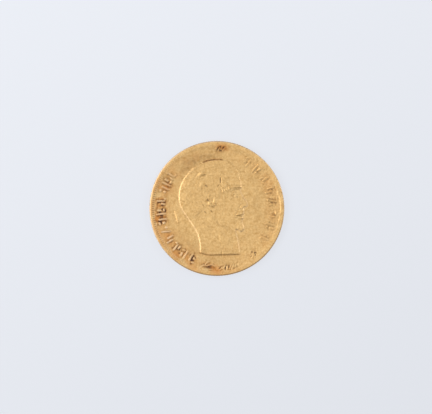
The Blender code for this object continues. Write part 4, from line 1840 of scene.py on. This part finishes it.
@dataclass
class Wiring:
    """Adds and joins the nodes of one new material.

    Args:
        name: The material's name.
    """

    name: str
    made: bpy.types.Material = field(init=False)

    def __post_init__(self) -> None:
        """Makes the material, with Blender's Principled shader in it."""
        self.made = bpy.data.materials.new(self.name)
        self.made.use_nodes = True

    @property
    def shader(self) -> bpy.types.Node:
        """The Principled shader."""
        return self.made.node_tree.nodes["Principled BSDF"]

    def feed(self, node: bpy.types.Node, inputs: dict) -> None:
        """Links the sockets among the inputs, and sets the other values.

        Args:
            node: The node that they go to.
            inputs: A socket or a value for each input, by the input's name or number.
        """
        for key, value in inputs.items():
            if isinstance(value, Socket):
                self.made.node_tree.links.new(value, node.inputs[key])
            else:
                node.inputs[key].default_value = value

    def add(self, kind: str, inputs: dict, output: str | int = 0, **choices: str) -> Socket:
        """Adds a node.

        Args:
            kind: Blender's name for the kind of node, after ShaderNode.
            inputs: A socket or a value for each input.
            output: The output that is wanted.
            choices: The node's own settings.

        Returns:
            The output's socket.
        """
        node = self.made.node_tree.nodes.new("ShaderNode" + kind)
        for name, choice in choices.items():
            setattr(node, name, choice)
        self.feed(node, inputs)
        return node.outputs[output]

    def noise(self, place: Socket, scale: float, detail: float, roughness: float = 0.5) -> Socket:
        """A noise texture's value, with a scale in patches for each unit of the place."""
        inputs = {"Vector": place, "Scale": scale, "Detail": detail, "Roughness": roughness}
        return self.add("TexNoise", inputs, "Fac")

    def stretch(self, value: Socket, start: Place, result: Place = (0.0, 1.0)) -> Socket:
        """The value, passed from one range to another and held at its ends."""
        inputs = {"Value": value, "From Min": start[0], "From Max": start[1]}
        inputs.update({"To Min": result[0], "To Max": result[1]})
        return self.add("MapRange", inputs, "Result")

    def carried(self, layer: Layer) -> Socket:
        """The value that the mesh carries on a layer."""
        return self.add("Attribute", {}, "Fac", attribute_name=layer.value)

    def blend(self, share: Socket, first: Colour | Socket, second: Colour) -> Socket:
        """Blends two colours, with the share of the second one."""
        start = (*first, 1.0) if isinstance(first, tuple) else first
        return self.add("Mix", {0: share, 6: start, 7: (*second, 1.0)}, 2, data_type="RGBA")


@dataclass(frozen=True)
class Gold:
    """Finish of the worn gold, dull with wear and darker where dirt is left, with a painted shade along
    the edge and painted highlights along the portrait's outline and the rim's upper left side.

    Args:
        metal: Colour of the bare metal.
        pale: Colour of its paler patches.
        deep: Colour of its deeper patches.
        red: Colour of the toning.
        rubbed: Colour of the rubbed tops of the strokes and other rubbed metal, also used for the painted
            highlights along the outline and on the rim's upper left side.
        dirt: Colour of the dirt in the hollows, also used for the painted shade along the edge.
        roughness: Roughness of the bare metal, at its grain's ends.
        patch_scale: Patches of colour to the millimetre.
        grain_scale: Grains to the millimetre.
        hairline_scale: Hairlines to the millimetre, across and upwards.
        noise_detail: Detail of the noise of the patches, the grains and the hairlines.
        noise_roughness: How strong the finest parts of each noise are.
        patch_range: Values of the patches' noise from the deepest colour to the bare metal's.
        grain_range: Values of the grain's noise from no paleness to full.
        dull_range: Values of the grain's noise over which the roughness changes.
        dirt_dullness: How much roughness full dirt adds, and full painted shade too.
        dirt_range: Dirt, painted shade included, over which the metal's shine is lost.
        dirty_metallic: Metallic value of clean metal and of full dirt, painted shade included.
        bump: Strength of the fine relief.
        bump_height: Height of the fine relief, in millimetres.
    """

    metal: Colour = (0.780, 0.480, 0.190)
    pale: Colour = (0.950, 0.660, 0.310)
    deep: Colour = (0.560, 0.315, 0.105)
    red: Colour = (0.680, 0.290, 0.080)
    rubbed: Colour = (0.940, 0.670, 0.410)
    dirt: Colour = (0.090, 0.032, 0.010)
    roughness: Place = (0.35, 0.45)
    patch_scale: float = 1.3
    grain_scale: float = 3.6
    hairline_scale: Place = (5.0, 0.5)
    noise_detail: tuple[float, float, float] = (6.0, 8.0, 2.0)
    noise_roughness: float = 0.62
    patch_range: Place = (0.28, 0.62)
    grain_range: Place = (0.38, 0.80)
    dull_range: Place = (0.3, 0.7)
    dirt_dullness: float = 0.30
    dirt_range: Place = (0.35, 1.0)
    dirty_metallic: Place = (1.0, 0.25)
    bump: float = 0.50
    bump_height: float = 0.02

    def material(self) -> bpy.types.Material:
        """Makes the finish as a material of procedural nodes."""
        wiring = Wiring("worn_gold")
        place = wiring.add("TexCoord", {}, "Object")
        place = wiring.add("VectorMath", {0: place, "Scale": 1.0 / MM}, operation="SCALE")
        patches = wiring.noise(place, self.patch_scale, self.noise_detail[0], self.noise_roughness)
        grains = wiring.noise(place, self.grain_scale, self.noise_detail[1], self.noise_roughness)
        # The dirt layer, which also holds the painted shade along the edge
        dirt = wiring.carried(Layer.DIRT)
        colour = wiring.blend(wiring.stretch(patches, self.patch_range), self.deep, self.metal)
        colour = wiring.blend(wiring.stretch(grains, self.grain_range), colour, self.pale)
        colour = wiring.blend(wiring.carried(Layer.TONING), colour, self.red)
        # The rubbed colour also paints the highlights along the outline and on the rim's upper left side
        colour = wiring.blend(wiring.carried(Layer.RUB), colour, self.rubbed)
        # The dirt colour also paints the shade along the edge
        colour = wiring.blend(dirt, colour, self.dirt)
        dull = wiring.stretch(grains, self.dull_range, self.roughness)
        dull = wiring.add("Math", {0: dirt, 1: self.dirt_dullness, 2: dull}, operation="MULTIPLY_ADD")
        metallic = wiring.stretch(dirt, self.dirt_range, self.dirty_metallic)
        normal = self.hairlines(wiring, place, grains)
        finish = {"Base Color": colour, "Metallic": metallic, "Roughness": dull, "Normal": normal}
        wiring.feed(wiring.shader, finish)
        return wiring.made

    def hairlines(self, wiring: Wiring, place: Socket, grains: Socket) -> Socket:
        """Fine scratches, most of them upright, and fine grain.

        Args:
            wiring: The material's wiring.
            place: The place in millimetres.
            grains: The grain's noise.

        Returns:
            The normal's socket.
        """
        drawn = wiring.add("VectorMath", {0: place, 1: (*self.hairline_scale, 1.0)}, operation="MULTIPLY")
        lines = wiring.noise(drawn, 1.0, self.noise_detail[2], self.noise_roughness)
        both = wiring.add("Math", {0: lines, 1: grains}, operation="ADD")
        inputs = {"Strength": self.bump, "Distance": self.bump_height * MM, "Height": both}
        return wiring.add("Bump", inputs, "Normal")


@dataclass
class StruckCoin:
    """The coin's one mesh: both struck faces and the reeded edge between them.

    Args:
        flat_inset: How far inside the edge the faces' own meshes end.
        rounding: Width and depth of the rims' worn rounding.
        border: Width of the border where a face's rings are closer together.
        border_share: Share of a face's rings that lie in the border.
        front_rings: Rings of the portrait side.
        back_rings: Rings of the back.
        reeds: Number of reeds around the edge.
        reed_depth: Depth of the grooves between them.
        reed_steepness: How steep the sides of the grooves are.
        edge_rows: Inset of the edge's rows from a face to the middle, and their share of the depth.
        groove_dirt: Dirt in the middle of a groove.
        edge_toning: Toning of the edge.
        points: The mesh's points, in millimetres.
        stains: The finish's layers at the points.
        faces: Point numbers of the mesh's faces.
    """

    flat_inset: float = 0.07
    rounding: Place = (0.16, 0.085)
    border: float = 0.75
    border_share: float = 0.10
    front_rings: int = 120
    back_rings: int = 92
    reeds: int = 160
    reed_depth: float = 0.040
    reed_steepness: float = 0.9
    edge_rows: tuple[Place, ...] = ((0.038, 0.2), (0.014, 0.5), (0.0, 1.0))
    groove_dirt: float = 0.45
    edge_toning: float = 0.25
    points: list[Array] = field(default_factory=list)
    stains: list[Array] = field(default_factory=list)
    faces: list[list[int]] = field(default_factory=list)

    def grid(self, rings: int) -> RingGrid:
        """A disc with closer rings across the rim."""
        within = round(rings * (1.0 - self.border_share))
        border = RADIUS - self.border
        body = np.linspace(0.0, border, within + 1)
        outside = np.linspace(border, RADIUS - self.flat_inset, rings - within + 1)[1:]
        return RingGrid(np.concatenate((body, outside)))

    def fall(self, radius: Array | float) -> Array | float:
        """How far the worn rounding has fallen at a radius."""
        width, depth = self.rounding
        return depth * np.clip((radius - RADIUS + width) / width, 0.0, 1.0) ** 2

    def build(self, reliefs: dict[Side, Relief]) -> bpy.types.Object:
        """Builds the coin's mesh from the reliefs of its faces.

        Args:
            reliefs: The relief of each face.

        Returns:
            The new object, dressed in its finish.
        """
        top = self.add_face(Side.PORTRAIT, reliefs[Side.PORTRAIT], self.front_rings)
        middle = self.add_edge(top)
        under = self.add_face(Side.BACK, reliefs[Side.BACK], self.back_rings)
        self.zip_up(middle, under)
        return self.object_made()

    def add_points(self, places: Array, stains: Array) -> int:
        """Adds points with their stains, and gives the first one's number."""
        first = sum(len(part) for part in self.points)
        self.points.append(places)
        self.stains.append(stains)
        return first

    def add_face(self, side: Side, relief: Relief, rings: int) -> Array:
        """Adds a face's points and four-sided faces.

        Args:
            side: Which face.
            relief: Its relief.
            rings: Its number of rings.

        Returns:
            Numbers of the points of its outermost ring.
        """
        grid = self.grid(rings)
        x, y = grid.places()
        height = np.minimum(relief.face.read(relief.height, x, y), FIELD_DEPTH)
        depth = FIELD_DEPTH - height + self.fall(np.hypot(x, y))
        stains = np.stack([relief.face.read(relief.patina[layer], x, y) for layer in Layer], axis=1)
        if side is Side.PORTRAIT:
            places = np.stack([x, y, THICKNESS - depth], axis=1)
        else:
            places = np.stack([x, -y, depth], axis=1)
        first = self.add_points(places, stains)
        self.faces += (grid.quads() + first).tolist()
        return first + len(x) - 8 * rings + np.arange(8 * rings)

    def add_edge(self, ring: Array) -> Array:
        """Adds the reeded edge, row by row from the portrait side down.

        Args:
            ring: Numbers of the portrait side's outermost points.

        Returns:
            Numbers of the edge's lowest points.
        """
        count = len(ring)
        turn = RING_START + 2.0 * math.pi * np.arange(count) / count
        groove = np.clip(0.5 - self.reed_steepness * np.cos(turn * self.reeds), 0.0, 1.0)
        upper = [(inset, THICKNESS - self.fall(RADIUS - inset), cut) for inset, cut in self.edge_rows]
        lower = [(inset, THICKNESS - level, cut) for inset, level, cut in reversed(upper)]
        for inset, level, cut in upper + lower:
            reach = RADIUS - inset - self.reed_depth * cut * groove
            places = np.stack([reach * np.cos(turn), reach * np.sin(turn), np.full(count, level)], axis=1)
            patina = {
                Layer.DIRT: self.groove_dirt * cut * groove,
                Layer.TONING: np.full(count, self.edge_toning),
                Layer.RUB: 1.0 - groove,
            }
            first = self.add_points(places, np.stack([patina[layer] for layer in Layer], axis=1))
            below = first + np.arange(count)
            self.faces += np.stack([ring, below, np.roll(below, -1), np.roll(ring, -1)], axis=1).tolist()
            ring = below
        return ring

    def by_angle(self, ring: Array) -> tuple[Array, Array]:
        """Sorts a ring's points around the coin, with the first one again a turn later.

        Args:
            ring: Numbers of the points.

        Returns:
            The sorted numbers, and their angles.
        """
        spots = np.concatenate(self.points)[ring]
        turn = np.arctan2(spots[:, 1], spots[:, 0])
        order = np.argsort(turn)
        return np.append(ring[order], ring[order[0]]), np.append(turn[order], turn[order[0]] + 2 * math.pi)

    def zip_up(self, above: Array, below: Array) -> None:
        """Joins two rings that have different numbers of points with triangles.

        Args:
            above: Numbers of the upper ring's points.
            below: Numbers of the lower ring's points.
        """
        upper, upper_turn = self.by_angle(above)
        lower, lower_turn = self.by_angle(below)
        i = j = 0
        while i < len(upper) - 1 or j < len(lower) - 1:
            upper_left, lower_left = i < len(upper) - 1, j < len(lower) - 1
            along_upper = upper_left and (not lower_left or upper_turn[i + 1] <= lower_turn[j + 1])
            corner = upper[i + 1] if along_upper else lower[j + 1]
            self.faces.append([int(upper[i]), int(lower[j]), int(corner)])
            i, j = (i + 1, j) if along_upper else (i, j + 1)

    def object_made(self) -> bpy.types.Object:
        """Makes the object, with its stains as attributes, its finish and smooth shading."""
        mesh = bpy.data.meshes.new("coin_struck")
        mesh.from_pydata((np.concatenate(self.points) * MM).tolist(), [], self.faces)
        stains = np.concatenate(self.stains).astype(np.float32)
        for column, layer in enumerate(Layer):
            mesh.attributes.new(layer.value, "FLOAT", "POINT").data.foreach_set("value", stains[:, column])
        mesh.polygons.foreach_set("use_smooth", np.ones(len(self.faces), dtype=bool))
        mesh.materials.append(Gold().material())
        mesh.update()
        coin = bpy.data.objects.new("coin_struck", mesh)
        bpy.context.scene.collection.objects.link(coin)
        return coin


@dataclass(frozen=True)
class PaleTable:
    """Finish of the pale table top, which glows softly, so that shadows on it are faint.

    Args:
        colour: Its colour.
        fleck: Brightness of its faint flecks, as a share of that colour.
        fleck_scale: Flecks to the metre.
        light: Colour of the glow.
        glow: Strength of the glow.
        glow_change: How much the glow grows, or shrinks, over the reach.
        slope: The way that the glow grows, across and upwards.
        reach: Distance along that way over which the glow changes, in metres.
        roughness: Its roughness.
        gloss: Its specular level.
    """

    colour: Colour = (0.120, 0.124, 0.132)
    fleck: float = 0.985
    fleck_scale: float = 60.0
    light: Colour = (0.909, 0.936, 1.000)
    glow: float = 0.741
    glow_change: float = 0.05
    slope: Place = (-0.5, 1.0)
    reach: float = 0.05
    roughness: float = 0.75
    gloss: float = 0.15

    def material(self) -> bpy.types.Material:
        """Makes the finish, with a faint mottle of procedural nodes."""
        wiring = Wiring("pale_table")
        place = wiring.add("TexCoord", {}, "Object")
        flecks = wiring.noise(place, self.fleck_scale, 2.0)
        flecked = tuple(self.fleck * part for part in self.colour)
        slope = {0: place, 1: (*self.slope, 0.0)}
        along = wiring.add("VectorMath", slope, "Value", operation="DOT_PRODUCT")
        ends = (self.glow - self.glow_change, self.glow + self.glow_change)
        finish = {
            "Base Color": wiring.blend(flecks, self.colour, flecked),
            "Roughness": self.roughness,
            "Specular IOR Level": self.gloss,
            "Emission Color": (*self.light, 1.0),
            "Emission Strength": wiring.stretch(along, (-self.reach, self.reach), ends),
        }
        wiring.feed(wiring.shader, finish)
        return wiring.made


@dataclass(frozen=True)
class SoftBox:
    """One soft studio light, which faces the coin.

    Args:
        name: Its name.
        place: Where it hangs, in metres.
        width: Its width, in metres.
        height: Its height, in metres.
        power: Its power, in watts.
    """

    name: str
    place: tuple[float, float, float]
    width: float
    height: float
    power: float

    def hang(self) -> None:
        """Adds the light to the scene."""
        lamp = bpy.data.lights.new(self.name, "AREA")
        lamp.shape = "RECTANGLE"
        lamp.size, lamp.size_y, lamp.energy = self.width, self.height, self.power
        made = bpy.data.objects.new(self.name, lamp)
        made.location = self.place
        made.rotation_euler = (-Vector(self.place)).to_track_quat("-Z", "Y").to_euler()
        bpy.context.scene.collection.objects.link(made)


@dataclass
class Studio:
    """The table, the lights and the camera that looks straight down on the coin.

    Args:
        lens: Focal length, in millimetres.
        distance: Height of the camera over the table, in metres.
        offset: Where the camera stands over the coin, in metres.
        table_size: Side of the table top, in metres.
        table_gap: How far the table top lies under the coin, in metres.
        world_colour: Colour of the pale surroundings.
        world_strength: Their strength.
        boxes: The soft lights.
    """

    lens: float = 120.0
    distance: float = 0.2033
    offset: Place = (-0.000126, 0.000207)
    table_size: float = 1.2
    table_gap: float = 0.01 * MM
    world_colour: Colour = (0.96, 0.98, 1.0)
    world_strength: float = 0.42
    boxes: tuple[SoftBox, ...] = (
        SoftBox("overhead_light", (0.02, 0.03, 0.50), 0.45, 0.30, 0.28),
        SoftBox("key_light", (-0.31, 0.03, 0.34), 0.52, 0.22, 1.15),
        SoftBox("right_light", (0.34, 0.11, 0.32), 0.42, 0.16, 0.50),
    )

    def set_up(self) -> None:
        """Builds everything in the studio."""
        self.lay_table()
        for box in self.boxes:
            box.hang()
        self.place_camera()
        self.light_surroundings()

    def lay_table(self) -> None:
        """Adds the table top, which isn't part of the coin."""
        bpy.ops.mesh.primitive_plane_add(size=self.table_size, location=(0.0, 0.0, -self.table_gap))
        table = bpy.context.object
        table.name = "table_top"
        table.data.materials.append(PaleTable().material())

    def place_camera(self) -> None:
        """Adds the camera and makes it the scene's own."""
        lens = bpy.data.cameras.new("camera")
        lens.lens = self.lens
        lens.clip_start = 0.01
        camera = bpy.data.objects.new("camera", lens)
        camera.location = (*self.offset, self.distance)
        bpy.context.scene.collection.objects.link(camera)
        bpy.context.scene.camera = camera

    def light_surroundings(self) -> None:
        """Gives the world its pale colour."""
        world = bpy.data.worlds.new("surroundings")
        world.use_nodes = True
        background = world.node_tree.nodes["Background"]
        background.inputs["Color"].default_value = (*self.world_colour, 1.0)
        background.inputs["Strength"].default_value = self.world_strength
        bpy.context.scene.world = world
        bpy.context.scene.view_settings.view_transform = "Standard"


def main() -> None:
    """Builds the studio and the coin, and reports each piece."""
    logging.basicConfig(level=logging.INFO, format="%(message)s")
    Studio().set_up()
    LOG.info("studio is set up")
    reliefs = {}
    for side, maker in ((Side.PORTRAIT, PortraitSide()), (Side.BACK, BackSide())):
        reliefs[side] = maker.strike()
        LOG.info("%s side is struck", side.value)
    coin = StruckCoin().build(reliefs)
    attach(coin, BODY)
    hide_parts(NODE)
    LOG.info("%s has %d points and %d faces", coin.name, len(coin.data.vertices), len(coin.data.polygons))


if __name__ == "__main__":
    main()
